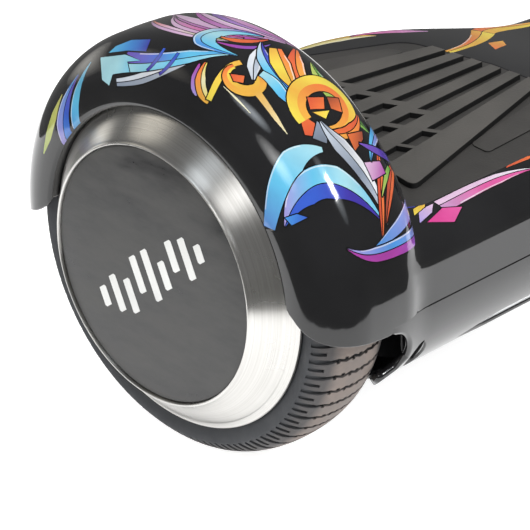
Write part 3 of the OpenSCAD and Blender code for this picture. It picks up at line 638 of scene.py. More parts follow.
CAD_FINISH = {
    "side_frame": CAST, "axle_clamp": CAST, "clamp_screws": DARK_STEEL, "hub_shell": TURNED,
    "motor_cover": TURNED, "magnet_ring": NICKEL, "stator": CORE, "windings": COPPER, "axle": STEEL,
    "motor_bearings": NICKEL, "gyro_board": BOARD, "front_plunger": SILICONE, "rear_plunger": SILICONE,
    "headlight_board": BOARD, "shell_screws": DARK_STEEL, "pivot_tube": STEEL, "pivot_bushes": NYLON,
    "pivot_circlip": DARK_STEEL, "stop_pin": STEEL, "centre_seal": SOFT_BLACK, "main_board": BOARD,
    "battery_pack": WRAP, "battery_bracket": CAST, "power_button": BUTTON, "button_bezel": NICKEL,
    "charge_port": NICKEL, "charge_port_cover": SOFT_BLACK, "cover_pin": STEEL, "upper_shell": PRINTED,
    "lower_shell": BLACK_GLOSS, "foot_mat": MAT_RUBBER, "tyre": TYRE, "trim_ring": RING_STEEL,
    "hub_cap": CAP, "headlight_lens": LENS, "status_lens": STATUS}
for name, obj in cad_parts.items():
    base = name
    for side in SIDES:
        base = base.removesuffix("_" + side)
    finish = CAD_FINISH[base]
    if obj.data.materials:
        for i in range(len(obj.data.materials)):
            obj.data.materials[i] = finish
    else:
        obj.data.materials.append(finish)


# ---------------------------------------------------------------------------
# Surfaces of the body and the fender, for the right half, in millimetres
# ---------------------------------------------------------------------------
EDGE_ARC = DECK_EDGE_RADIUS * math.pi / 2
BELLY_ARC = 68.0


def deck_surface(s, t):
    """Upper body: s along the board, t across it from the middle of the deck, + to the rear."""
    w, top = half_width(s), deck_z(s)
    flat = w - DECK_EDGE_RADIUS
    over = np.clip(np.abs(t) - flat, 0, EDGE_ARC)
    angle = over / DECK_EDGE_RADIUS
    down = np.clip(np.abs(t) - flat - EDGE_ARC, 0, None)
    y = np.where(np.abs(t) <= flat, np.abs(t), flat + DECK_EDGE_RADIUS * np.sin(angle))
    z = top - DECK_EDGE_RADIUS * (1 - np.cos(angle)) - down
    return np.stack([s, np.sign(t) * y, z], -1)


def deck_t(s, y, z):
    """Where a point of the upper body lies across it."""
    w, top = half_width(s), deck_z(s)
    flat = w - DECK_EDGE_RADIUS
    if abs(y) <= flat:
        t = abs(y)
    elif z >= top - DECK_EDGE_RADIUS:
        t = flat + DECK_EDGE_RADIUS * math.atan2(abs(y) - flat, z - (top - DECK_EDGE_RADIUS))
    else:
        t = flat + EDGE_ARC + (top - DECK_EDGE_RADIUS - z)
    return math.copysign(t, y)


def seam_t(s, lift=0.0):
    """Distance from the middle of the deck to the seam, or to a height above it."""
    flat = half_width(s) - DECK_EDGE_RADIUS
    return flat + EDGE_ARC + deck_z(s) - DECK_EDGE_RADIUS - SEAM_HEIGHT - lift


def belly_surface(s, t):
    """Lower body: t across it from the middle of the belly, + to the front."""
    w = half_width(s)
    radius = BELLY_EDGE_RADIUS * w / BODY_HALF_WIDTH
    height = SEAM_HEIGHT - belly_z(s)
    flat = w - radius
    over = np.clip(np.abs(t) - flat, 0, None)
    angle = over / BELLY_ARC * (math.pi / 2)
    y = np.where(np.abs(t) <= flat, np.abs(t), flat + radius * np.sin(angle))
    z = SEAM_HEIGHT - height * np.cos(angle)
    return np.stack([s, -np.sign(t) * y, z], -1)


def belly_t(s, y):
    """Where a point of the lower body at station s and side y lies across it."""
    w = float(half_width(s))
    radius = BELLY_EDGE_RADIUS * w / BODY_HALF_WIDTH
    flat = w - radius
    if abs(y) <= flat:
        t = abs(y)
    else:
        t = flat + BELLY_ARC * math.asin(min(1.0, (abs(y) - flat) / radius)) / (math.pi / 2)
    return math.copysign(t, -y)


def belly_t_at(s, z, front=1):
    """Where height z lies across the lower body on its front or rear side."""
    w = float(half_width(s))
    radius = BELLY_EDGE_RADIUS * w / BODY_HALF_WIDTH
    height = SEAM_HEIGHT - float(belly_z(s))
    angle = math.acos(max(-1.0, min(1.0, (SEAM_HEIGHT - z) / height)))
    return front * (w - radius + BELLY_ARC * angle / (math.pi / 2))


def fender_path():
    """Profile of the fender from its rim over the crown and down its inner wall: (radius, offset)."""
    r, outer, edge = FENDER_RADIUS, FENDER_OUTER_SIDE, FENDER_EDGE_RADIUS
    lip = 2.4
    path = [(FENDER_OPENING_RADIUS, outer - 5.0), (FENDER_OPENING_RADIUS, outer - lip)]
    path += arc(FENDER_OPENING_RADIUS + lip, outer - lip, lip, 180, 90, 8)
    path += [(r + edge * (math.cos(a) - 1), outer + edge * (math.sin(a) - 1))
             for a in (math.radians(90 - 3.75 * i) for i in range(25))]
    path += [(r + 0.16, 0.0), (r + 0.22, -4.0), (r + 0.14, -8.0)]
    path += [(r + 24 * (math.cos(a) - 1), -36 + 24 * (math.sin(a) + 1))
             for a in (math.radians(-3.75 * i) for i in range(21))]
    path += [(68.0, -35.8), (60.0, -36.0), (44.0, -36.0), (30.0, -36.0), (18.0, -36.0)]
    return np.array(path)


FENDER_PATH = fender_path()
FENDER_RUN = np.concatenate(
    [[0], np.cumsum(np.linalg.norm(np.diff(FENDER_PATH, axis=0), axis=1))])
EDGE_START = FENDER_RADIUS - FENDER_EDGE_RADIUS - FENDER_OPENING_RADIUS
RIM_RUN = float(FENDER_RUN[np.argmax(FENDER_PATH[:, 1] > FENDER_OUTER_SIDE - 0.001) + 1]) - EDGE_START
# Where the print lies: runs along the profile, and the distances from the rim drawn there
EDGE_TURN = FENDER_EDGE_RADIUS * math.pi / 2
PAST_EDGE = 100.0
PRINT_RUNS = [0.0, RIM_RUN] + [RIM_RUN + EDGE_START + x
                               for x in (0, EDGE_TURN / 2, EDGE_TURN, EDGE_TURN + PAST_EDGE)]
PRINT_MARKS = [-RIM_RUN, 0.0, 5.3, 24.1, 43.1, 143.1]
FULL_TURN = FENDER_RADIUS


def fender_surface(q, v):
    """Fender: q along its profile from the rim, v round it from the top, + to the front."""
    radius = np.interp(q, FENDER_RUN, FENDER_PATH[:, 0])
    out = np.interp(q, FENDER_RUN, FENDER_PATH[:, 1])
    phi = v / FULL_TURN
    return np.stack([WHEEL_OFFSET + out, -radius * np.sin(phi), AXLE_HEIGHT + radius * np.cos(phi)], -1)


def in_body(point):
    """Whether a point lies within the upper body."""
    s, y, z = point
    w, top = float(half_width(s)), float(deck_z(s))
    flat = w - DECK_EDGE_RADIUS
    if abs(y) >= w or z >= top:
        return False
    if abs(y) > flat and z > top - DECK_EDGE_RADIUS:
        return math.hypot(abs(y) - flat, z - top + DECK_EDGE_RADIUS) < DECK_EDGE_RADIUS
    return True


def crease_run(v):
    """How far along its profile the fender meets the body, at a place round it."""
    low = 60.0
    high = FENDER_RUN[-1]
    for q in np.arange(low, high, 0.5):
        if in_body(fender_surface(q, v)):
            high = q
            break
    low = max(low, high - 0.5)
    for _ in range(24):
        middle = (low + high) / 2
        if in_body(fender_surface(middle, v)):
            high = middle
        else:
            low = middle
    return high


def seam_v(q, z):
    """Place round the fender where it is at height z."""
    radius = float(np.interp(q, FENDER_RUN, FENDER_PATH[:, 0]))
    return FULL_TURN * math.acos(max(-1.0, min(1.0, (z - AXLE_HEIGHT) / radius)))


END_RUN = [0.0, 3.0, 8.0, 12.0, 16.0, 20.0, 24.0, 30.0, 50.0, 60.0]
END_FRONT = [135.0, 142.0, 147.6, 150.6, 152.6, 153.8, 154.5, 155.0, 156.6, 156.8]
END_REAR = [132.5, 138.8, 143.4, 146.0, 147.8, 149.4, 150.6, 152.4, 156.0, 156.8]


def fender_end(q, front=True):
    """Place round the fender of its lower edge, which rises in a curve towards the rim."""
    mark = float(np.interp(q, PRINT_RUNS, PRINT_MARKS))
    return float(np.interp(mark, END_RUN, END_FRONT if front else END_REAR))


# ---------------------------------------------------------------------------
# The print: own abstract swooshes, rings and shards, drawn in millimetres on the skin
# ---------------------------------------------------------------------------
def ink(red, green, blue):
    """A colour given as 0 to 255, as linear light."""
    out = []
    for c in (red, green, blue):
        c = c / 255.0
        out.append(c / 12.92 if c <= 0.04045 else ((c + 0.055) / 1.055) ** 2.4)
    return tuple(out)


FROST = ink(170, 222, 232)
CYAN = ink(92, 198, 238)
SKY = ink(60, 150, 228)
BLUE = ink(38, 88, 205)
INDIGO = ink(58, 42, 165)
VIOLET = ink(118, 78, 188)
LILAC = ink(165, 150, 220)
MAUVE = ink(196, 150, 196)
MAGENTA = ink(172, 56, 165)
PINK = ink(224, 84, 160)
BLUSH = ink(232, 196, 226)
CREAM = ink(228, 222, 180)
YELLOW = ink(238, 216, 66)
AMBER = ink(238, 178, 52)
ORANGE = ink(238, 112, 38)
EMBER = ink(214, 76, 34)
RUST = ink(150, 68, 44)
SLATE = ink(140, 152, 170)
SILVER = ink(205, 214, 226)
WHITE = ink(238, 240, 244)
LEAF = ink(108, 170, 66)
LIME = ink(186, 204, 96)
KEYLINE = (0.002, 0.002, 0.002)


def spline(control, n=28):
    """Points of the Bezier curve with these control points."""
    pts = np.array(control, float)
    t = np.linspace(0, 1, n)[:, None]
    degree = len(pts) - 1
    out = 0
    for i, p in enumerate(pts):
        out = out + math.comb(degree, i) * t ** i * (1 - t) ** (degree - i) * p
    return out


class Patch:
    """One printed shape: an outline with a colour that runs from a start to an end point."""

    def __init__(self, outline, stops, start=None, end=None):
        self.outline = np.array(outline, float)
        self.stops = stops
        self.start = np.array(start if start is not None else self.outline[0], float)
        self.end = np.array(end if end is not None else self.outline[len(outline) // 2], float)

    def colour(self, points):
        axis = self.end - self.start
        share = (points - self.start) @ axis / max(float(axis @ axis), 1e-9)
        at = np.linspace(0, 1, len(self.stops))
        share = np.clip(share, 0, 1)
        return np.stack([np.interp(share, at, [s[k] for s in self.stops]) for k in range(3)], -1)


def ribbon(control, widths, bands, key=0.55, n=28):
    """A swoosh of changing width along a curve, split lengthwise into bands of colour.

    Each band is (from, to, colours), where -1 is the right-hand edge and 1 the left-hand one.
    """
    line = spline(control, n)
    along = np.gradient(line, axis=0)
    along /= np.maximum(np.linalg.norm(along, axis=1, keepdims=True), 1e-9)
    across = np.stack([-along[:, 1], along[:, 0]], -1)
    half = np.interp(np.linspace(0, 1, n), np.linspace(0, 1, len(widths)), widths)[:, None]
    half = np.maximum(half, 0.05)
    edge = half + key
    base = line.copy()
    base[0] -= along[0] * key
    base[-1] += along[-1] * key
    outline = np.vstack([base + across * edge, (base - across * edge)[::-1]])
    made = [Patch(outline, [KEYLINE])]
    for low, high, colours in bands:
        gap_low = 0.22 if low > -1 else 0.0
        gap_high = 0.22 if high < 1 else 0.0
        top = line + across * np.maximum(half * high - gap_high, half * low)
        bottom = line + across * np.minimum(half * low + gap_low, half * high)
        made.append(Patch(np.vstack([top, bottom[::-1]]), colours, line[0], line[-1]))
    if max(widths) > 2.4:
        # Pale edge along the broad part, like a highlight drawn in the print
        reach = slice(n // 6, n - n // 5)
        outer = (line + across * half * 0.97)[reach]
        inner = (line + across * np.maximum(half * 0.97 - 0.55 * np.minimum(1, half / 3), 0))[reach]
        pale = [tuple(0.45 * c + 0.5 for c in colour) for colour in bands[-1][2]]
        made.append(Patch(np.vstack([outer, inner[::-1]]), pale, outer[0], outer[-1]))
    return made


def shard(corners, colours, key=0.5, start=None, end=None):
    """A straight-edged facet with a dark line round it."""
    pts = np.array(corners, float)
    area = 0.5 * np.sum(pts[:, 0] * np.roll(pts[:, 1], -1) - np.roll(pts[:, 0], -1) * pts[:, 1])
    if area < 0:
        pts = pts[::-1]
    grown = []
    for before, here, after in zip(np.roll(pts, 1, 0), pts, np.roll(pts, -1, 0)):
        a, b = here - before, after - here
        a, b = a / np.linalg.norm(a), b / np.linalg.norm(b)
        na, nb = np.array([a[1], -a[0]]), np.array([b[1], -b[0]])
        push = (na + nb) / max(1 + float(na @ nb), 0.35)
        grown.append(here + push * key)
    first = pts[0] if start is None else start
    last = pts[len(pts) // 2] if end is None else end
    return [Patch(grown, [KEYLINE]), Patch(pts, colours, first, last)]


def ring(cx, cy, rx, ry, turn, begin, finish, widths, bands, key=0.55):
    """An open ring or hook: a ribbon along part of an ellipse."""
    t = np.radians(np.linspace(begin, finish, 40))
    tilt = math.radians(turn)
    x, y = rx * np.cos(t), ry * np.sin(t)
    line = np.stack([cx + x * math.cos(tilt) - y * math.sin(tilt),
                     cy + x * math.sin(tilt) + y * math.cos(tilt)], -1)
    along = np.gradient(line, axis=0)
    along /= np.linalg.norm(along, axis=1, keepdims=True)
    across = np.stack([-along[:, 1], along[:, 0]], -1)
    half = np.interp(np.linspace(0, 1, 40), np.linspace(0, 1, len(widths)), widths)[:, None]
    outline = np.vstack([line + across * (half + key), (line - across * (half + key))[::-1]])
    made = [Patch(outline, [KEYLINE])]
    for low, high, colours in bands:
        inner = np.vstack([line + across * half * high, (line + across * half * low)[::-1]])
        made.append(Patch(inner, colours, line[0], line[len(line) // 2]))
    return made


def fender_print():
    """Shapes on the fender: (distance round from the top, + to the front; distance from the rim)."""
    p = []
    # Soft fan over the top, seen only at a glancing angle
    p += ribbon([(-34, 52), (-18, 38), (2, 38), (14, 48)], [0.4, 2.2, 2.0, 0.4],
                [(-1, 0, [MAUVE, BLUSH]), (0, 1, [ORANGE, BLUSH, LIME])])
    p += ribbon([(-32, 62), (-12, 46), (8, 48), (22, 62)], [0.4, 4.5, 4.5, 1.0],
                [(-1, -0.1, [MAUVE, MAGENTA]), (-0.1, 1, [BLUSH, MAUVE])])
    p += ribbon([(-20, 76), (-6, 58), (14, 60), (30, 74)], [1.0, 4.5, 4.5, 1.0],
                [(-1, 0, [VIOLET, MAUVE]), (0, 1, [BLUSH, MAGENTA])])
    p += ribbon([(-26, 57), (-14, 42), (4, 43), (16, 54)], [0.3, 2.4, 2.4, 0.5],
                [(-1, 0, [BLUSH, MAUVE]), (0, 1, [MAUVE, PINK])])
    p += ribbon([(-26, 70), (-8, 52), (12, 54), (26, 68)], [0.5, 3.0, 3.0, 0.8],
                [(-1, 0, [MAGENTA, MAUVE]), (0, 1, [BLUSH, MAUVE])])
    # Streaks at the rear end of the outer side
    p += ribbon([(-110, 9), (-98, 9), (-86, 12), (-74, 17)], [0.3, 2.2, 2.2, 0.3],
                [(-1, 1, [LIME, ink(200, 196, 108)])])
    p += ribbon([(-92, -4), (-86, 6), (-74, 11), (-58, 20)], [3.4, 5.0, 3.4, 0.3],
                [(-1, 0.0, [SKY, BLUE, VIOLET]), (0.0, 1, [LILAC, SKY])])
    p += ribbon([(-78, -4), (-72, 4), (-62, 10), (-49, 23)], [2.6, 3.0, 2.4, 0.3],
                [(-1, 1, [SKY, CYAN, ink(96, 168, 200)])])
    # Long arrow over the top of the wheel
    p += ribbon([(-28, 11), (-8, 11), (8, 20), (19, 40)], [1.6, 2.4, 2.0, 0.2],
                [(-1, 0, [SLATE, SILVER]), (0, 1, [SILVER, WHITE, SLATE])])
    p += shard([(-37, 25), (-13, 25.5), (-15, 32), (-26, 31), (-34, 28)], [CYAN, SKY, INDIGO],
               start=(-37, 25), end=(-13, 30))
    p += ribbon([(-24, 20), (-4, 19), (10, 27), (23, 43)], [4.6, 3.9, 3.4, 0.2],
                [(-1, -0.15, [FROST, CYAN, FROST]), (-0.15, 1, [VIOLET, BLUE, CYAN, SKY])])
    p += shard([(-42, 23.5), (-39, 13), (-34, 10), (-31, 14.5), (-19, 15.5), (-22, 20), (-14, 21),
                (-25, 23.2)], [FROST, FROST, CYAN], start=(-42, 20), end=(-14, 20))
    for at in (-8.0, 0.0):
        p += ribbon([(at, 17.5), (at + 4.5, 22), (at + 3.6, 29)], [0.6, 0.9, 0.6],
                    [(-1, 1, [INDIGO, BLUE])], key=0.25, n=12)
    # Blue hook at the crown
    p += ribbon([(24, 43), (2, 33), (-2, 50), (19, 62)], [0.3, 4.6, 4.2, 0.3],
                [(-1, 0.3, [CYAN, FROST, CYAN]), (0.3, 1, [SKY, FROST, VIOLET])])
    p += ribbon([(10, 48), (16, 49), (20, 54), (22, 62)], [0.3, 1.3, 1.2, 0.2], [(-1, 1, [ORANGE, EMBER])])
    p += ribbon([(12, 44), (20, 46), (25, 52), (25, 60)], [0.3, 1.1, 1.0, 0.2], [(-1, 1, [MAGENTA, VIOLET])])
    # Yellow and orange hooks
    p += ribbon([(16, 29), (18, 23), (21, 18), (24, 17)], [0.3, 1.8, 1.7, 0.4],
                [(-1, 1, [MAGENTA, LILAC])])
    p += ribbon([(18, 31), (20, 22), (26, 18), (31, 18)], [0.6, 2.3, 2.3, 1.2],
                [(-1, 0.1, [ORANGE, AMBER]), (0.1, 1, [YELLOW, CREAM, YELLOW])])
    p += ribbon([(30.5, 18.5), (29, 27), (25, 33), (28, 41)], [1.4, 1.5, 1.2, 1.4],
                [(-1, 1, [YELLOW, AMBER])])
    p += ring(35, 35.5, 7.4, 5.8, 12, 150, 418, [1.2, 2.0, 2.7, 2.2],
              [(-1, 0.15, [ORANGE, AMBER]), (0.15, 1, [YELLOW, AMBER])])
    p += shard([(30, 33), (33.5, 31.4), (36.8, 33.6), (34.5, 36.5)], [EMBER, ORANGE])
    # Pale streaks beside the hooks, without keylines: painted highlights of gloss in the print colours
    p += ribbon([(43, 35), (50, 34), (57, 33), (65, 33)], [1.6, 1.3, 1.0, 0.1], [(-1, 1, [AMBER, CREAM])],
                key=0.0)
    p += ribbon([(32, 26.8), (40, 26.4), (49, 26.4)], [0.1, 0.45, 0.1], [(-1, 1, [CREAM])], key=0.0)
    # Grey shard, blue leaf and ribbon below the hook
    p += ribbon([(24, 56), (28, 48), (33, 43), (38, 38)], [0.3, 2.4, 2.6, 0.6],
                [(-1, 0, [WHITE, SILVER]), (0, 1, [SLATE, SILVER])])
    p += ribbon([(22, 58), (30, 49), (42, 46), (54, 48)], [0.3, 3.0, 3.2, 1.0],
                [(-1, 0.1, [SILVER, CYAN, SKY]), (0.1, 1, [INDIGO, BLUE, SKY])])
    p += ribbon([(37, 43.5), (44, 46), (50, 42), (56, 44)], [1.8, 2.6, 2.4, 0.5],
                [(-1, 1, [FROST, CYAN, SKY])])
    # Amber leaves, green leaf
    p += ribbon([(40, 69), (50, 61), (66, 63), (78, 71)], [0.3, 3.4, 3.4, 0.3],
                [(-1, 0.2, [LIME, LEAF]), (0.2, 1, [LEAF, ink(70, 120, 52)])])
    p += ribbon([(31, 69), (38, 60), (45, 55), (52, 56)], [1.0, 3.4, 3.2, 1.2],
                [(-1, 0, [EMBER, ORANGE]), (0, 1, [ORANGE, AMBER])])
    p += ribbon([(28, 60), (36, 54), (44, 51), (50, 50)], [2.4, 4.2, 3.2, 0.6],
                [(-1, 0.25, [AMBER, YELLOW, AMBER]), (0.25, 1, [ORANGE, AMBER])])
    # Large ring with facets inside it
    p += shard([(59, 43.5), (68.5, 39.5), (70.5, 43), (66, 47)], [ORANGE, EMBER])
    p += ring(61, 56, 11.0, 12.4, 18, -70, 262, [2.0, 3.4, 4.2, 3.6],
              [(-1, 0.1, [YELLOW, AMBER, YELLOW]), (0.1, 1, [AMBER, ORANGE])])
    p += shard([(55, 52), (60, 49.5), (62, 55.5), (57.5, 59)], [EMBER, ORANGE])
    p += shard([(61.5, 49.5), (66, 53), (63.4, 57)], [AMBER, YELLOW])
    p += shard([(58, 60.5), (63, 58.5), (66, 62), (60, 65.5)], [RUST, ORANGE])
    p += ribbon([(69, 47), (76, 54), (76, 63), (69, 70)], [0.4, 2.2, 2.4, 0.4],
                [(-1, 0, [AMBER, ORANGE]), (0, 1, [ORANGE, EMBER])])
    p += shard([(75, 58), (82, 57), (79, 64), (76, 66)], [ORANGE, RUST])
    # Grey blades under the large swoosh
    p += shard([(65.5, 48.5), (71, 42), (75, 46.5), (70, 50.5)], [SLATE, ink(112, 122, 138)])
    p += ribbon([(66, 50), (76, 49), (90, 59), (113, 58)], [0.3, 3.6, 3.0, 0.2],
                [(-1, 0.1, [SILVER, SLATE, SILVER]), (0.1, 1, [SLATE, WHITE, WHITE])])
    # Large blue swoosh on the front
    p += ribbon([(98, 13), (84, 24), (79, 43), (111, 56)], [0.3, 6.4, 6.8, 0.2],
                [(-1, -0.1, [BLUE, BLUE, INDIGO, INDIGO]), (-0.1, 1, [LILAC, CYAN, FROST, CYAN])])
    p += shard([(94.5, 14.5), (98.6, 16), (98, 23.5), (95, 20)], [SKY, BLUE])
    p += ribbon([(96, 4.5), (80, 17), (70, 27), (76.5, 43)], [3.4, 4.6, 5.4, 1.0],
                [(-1, 1, [ink(84, 140, 216), CYAN, FROST])])
    # Spikes towards the deck
    p += ribbon([(84, 70), (95, 62), (106, 57), (119, 53)], [0.6, 1.5, 1.3, 0.1],
                [(-1, 0, [EMBER]), (0, 1, [ORANGE])])
    p += ribbon([(94, 75), (98, 67), (106, 61), (113, 57)], [2.2, 2.0, 1.2, 0.1],
                [(-1, 0, [EMBER, RUST]), (0, 1, [ORANGE, EMBER])])
    p += ribbon([(93, 72), (95, 66), (102, 60)], [1.0, 1.1, 0.1], [(-1, 1, [LEAF, LIME])])
    p += shard([(87.5, 58.5), (95, 58.5), (94.5, 67), (89.5, 67)], [BLUSH, MAGENTA])
    p += ribbon([(76, 82), (79, 72), (82, 66), (88, 62)], [3.4, 2.6, 1.6, 0.2],
                [(-1, 0, [SKY, CYAN]), (0, 1, [LILAC, SKY])])
    p += ribbon([(90, 80), (88, 72), (84, 66), (80, 61)], [2.0, 2.0, 1.4, 0.2],
                [(-1, 1, [INDIGO, VIOLET])])
    # Crescents above the foot of the fender
    p += ribbon([(119, 48), (118, 58), (113, 68), (111, 82)], [0.2, 2.0, 3.2, 4.0],
                [(-1, 1, [SKY, LILAC])])
    p += ribbon([(115, 35), (126, 47), (121, 62), (124, 84)], [0.2, 2.8, 3.4, 4.0],
                [(-1, 0.05, [MAGENTA, MAGENTA, VIOLET]), (0.05, 1, [LILAC, SKY, LILAC])])
    # Rear of the fender
    p += ribbon([(-60, 34), (-52, 48), (-58, 62), (-84, 70)], [0.3, 5.0, 5.2, 0.3],
                [(-1, 0, [VIOLET, BLUE, INDIGO]), (0, 1, [CYAN, SKY, CYAN])])
    p += ribbon([(-70, 32), (-64, 46), (-78, 58), (-104, 60)], [0.3, 3.4, 3.6, 0.3],
                [(-1, 0, [MAGENTA, PINK]), (0, 1, [BLUSH, LILAC])])
    p += ring(-94, 44, 9.0, 8.0, 0, -60, 230, [1.8, 2.8, 3.2, 2.0],
              [(-1, 0.1, [YELLOW, AMBER]), (0.1, 1, [AMBER, ORANGE])])
    p += ribbon([(-118, 40), (-110, 50), (-112, 62), (-122, 72)], [0.3, 2.4, 2.8, 0.4],
                [(-1, 0, [EMBER, ORANGE]), (0, 1, [AMBER, YELLOW])])
    p += ribbon([(-46, 66), (-36, 72), (-20, 74), (-4, 70)], [0.3, 2.6, 2.6, 0.3],
                [(-1, 0, [CYAN, BLUE]), (0, 1, [FROST, SKY])])
    return p


def deck_print():
    """Shapes on the deck and its sides: (station, distance from the middle, + to the front)."""
    p = []
    # Pink blade beside the front of the mat
    p += ribbon([(154, 82.2), (172, 77.4), (192, 79.2), (208, 79.6)], [0.2, 2.6, 3.2, 3.4],
                [(-1, -0.15, [WHITE, BLUSH, BLUSH]), (-0.15, 1, [PINK, PINK, MAUVE])])
    p += shard([(199.5, 84), (208, 80.8), (219.5, 83.6), (207.5, 88.2)], [PINK, ink(214, 44, 140)])
    p += shard([(209.5, 77), (218, 76.8), (223, 82.6), (214, 80.6)], [BLUSH, LILAC])
    p += ribbon([(146, 77), (152, 75.4), (158, 75.4), (164, 76)], [0.2, 1.2, 1.0, 0.2],
                [(-1, 1, [ORANGE, EMBER])])
    p += shard([(213.5, 69), (218, 66.5), (221, 72), (217, 74.5)], [BLUE, INDIGO])
    p += shard([(211, 74), (219, 75), (222, 78.4), (214, 76.6)], [AMBER, YELLOW])
    p += ribbon([(96, 64), (104, 74), (118, 82), (138, 84)], [0.3, 2.6, 3.0, 0.3],
                [(-1, 0, [CYAN, BLUE]), (0, 1, [FROST, LILAC])])
    # Amber arrow on the waist
    p += ribbon([(88, -25), (74, -23), (62, -26), (48, -36)], [1.8, 2.4, 4.0, 5.6],
                [(-1, 0.1, [YELLOW, AMBER, YELLOW]), (0.1, 1, [AMBER, ORANGE, AMBER])])
    p += shard([(66, -13.5), (56, -15.5), (52, -21), (61, -22)], [ORANGE, AMBER])
    p += ribbon([(48, -36), (38, -40), (28, -33), (14, -32)], [5.4, 5.0, 3.6, 1.6],
                [(-1, 0.1, [AMBER, YELLOW]), (0.1, 1, [ORANGE, AMBER])])
    p += ribbon([(60, 8), (46, 20), (30, 30), (16, 30)], [0.3, 3.2, 3.8, 0.6],
                [(-1, 0, [SKY, BLUE]), (0, 1, [FROST, CYAN])])
    p += ribbon([(62, 24), (52, 34), (36, 40), (18, 40)], [0.3, 2.0, 2.4, 0.4],
                [(-1, 0, [MAGENTA, VIOLET]), (0, 1, [BLUSH, LILAC])])
    p += ring(22, 2, 6.5, 8.0, 0, 100, 330, [0.8, 2.0, 2.4, 1.0],
              [(-1, 0.1, [YELLOW, AMBER]), (0.1, 1, [ORANGE, EMBER])])
    # Stripes along the rear edge
    p += ribbon([(92, -62), (104, -74), (122, -80), (142, -80)], [0.4, 3.2, 3.6, 1.0],
                [(-1, 0, [AMBER, YELLOW]), (0, 1, [CREAM, YELLOW])])
    p += ribbon([(134, -82), (150, -78), (168, -79), (186, -83)], [0.4, 2.4, 3.0, 0.6],
                [(-1, 0, [EMBER, ORANGE]), (0, 1, [PINK, BLUSH])])
    p += ribbon([(176, -84), (192, -78.5), (206, -79), (222, -84)], [0.4, 2.8, 3.4, 1.4],
                [(-1, 0, [INDIGO, BLUE]), (0, 1, [LILAC, CYAN])])
    p += ribbon([(70, -50), (82, -58), (86, -66), (100, -70)], [0.3, 2.0, 2.0, 0.3],
                [(-1, 1, [MAUVE, PINK])])
    return p


def painter(patches, to_print, free=None):
    """Colours for the corners of triangles: the last patch that covers a triangle wins."""
    def paint(uv, tri):
        spots = to_print(uv)
        middle = spots[tri].mean(1)
        owner = np.full(len(tri), -1)
        for k, patch in enumerate(patches):
            owner[inside(middle, patch.outline)] = k
        if free is not None:
            owner[free(middle)] = -1
        colours = np.zeros((len(tri), 3, 4))
        for k in np.unique(owner[owner >= 0]):
            mine = np.nonzero(owner == k)[0]
            corners = spots[tri[mine]].reshape(-1, 2)
            colours[mine, :, :3] = patches[k].colour(corners).reshape(-1, 3, 3)
            colours[mine, :, 3] = 1.0
        return colours
    return paint


# ---------------------------------------------------------------------------
# Upper shells
# ---------------------------------------------------------------------------
LIP = 0.3
SEAM_CLEAR = 0.12


def crease():
    """Where the fender meets the body, from the rear seam over the top to the front seam."""
    points = []
    for v in np.linspace(0, FULL_TURN * math.radians(96), 110):
        q = crease_run(v)
        place = fender_surface(np.array(q), np.array(v))
        if place[2] < SEAM_HEIGHT + LIP + 0.05:
            break
        points.append((q, float(v)))
    return [(q, -v) for q, v in points[:0:-1]] + points


CREASE = crease()
CREASE_POINTS = np.array([fender_surface(np.array(q), np.array(v)) for q, v in CREASE])


def crease_frame():
    """Shared direction of the two skins along the crease, and how far they may blend."""
    q, v = np.array(CREASE).T
    fender_n = surface_normals(fender_surface, q - 0.05, v)
    t = np.array([deck_t(*p) for p in CREASE_POINTS])
    deck_n = surface_normals(deck_surface, CREASE_POINTS[:, 0] - 0.05, t)
    shared = fender_n + deck_n
    shared /= np.linalg.norm(shared, axis=1, keepdims=True)
    alike = smooth(((fender_n * deck_n).sum(1) - 0.55) / 0.3)
    return shared, alike


CREASE_NORMAL, CREASE_ALIKE = crease_frame()


def blend_at_crease(points, normals, reach=5.5):
    """Turns normals gently into each other where the two skins meet at a shallow angle."""
    out = normals.copy()
    for start in range(0, len(points), 4000):
        some = slice(start, start + 4000)
        gap = np.linalg.norm(points[some, None, :] - CREASE_POINTS[None, :, :], axis=2)
        nearest = gap.argmin(1)
        share = smooth(1 - gap.min(1) / reach) * CREASE_ALIKE[nearest]
        mixed = normals[some] * (1 - share[:, None]) + CREASE_NORMAL[nearest] * share[:, None]
        out[some] = mixed / np.linalg.norm(mixed, axis=1, keepdims=True)
    return out


def mat_outline(grow=0.0, waist_end=83.0, wheel_end=221.5, half=75.0):
    """Outline of the foot mat in the deck's plane, widened by grow."""
    w, near, far = half + grow, waist_end - grow, wheel_end + grow
    side = arc(far - 10, w - 10, 10, 0, 90, 10)
    side += [(150, w), (140, w - 1.2), (108, w - 17)]
    side += arc(near + 19, w - 37, 15, 112, 172, 8) + [(near, 0)]
    return side + [(x, -y) for x, y in side[-2::-1]]


def deck_points(outline):
    """Points of the deck's plane as places on the upper body's surface."""
    out = []
    for s, y in outline:
        z = float(deck_z(s))
        flat = float(half_width(s)) - DECK_EDGE_RADIUS
        if abs(y) > flat:
            z = z - DECK_EDGE_RADIUS + math.sqrt(DECK_EDGE_RADIUS ** 2 - (abs(y) - flat) ** 2)
        out.append((s, deck_t(s, y, z)))
    return out


def status_outline(grow):
    near = arc(STATUS_AT, 8, 4 + grow, 0, 180, 12)
    return near + [(x, -y) for x, y in near[::-1]]


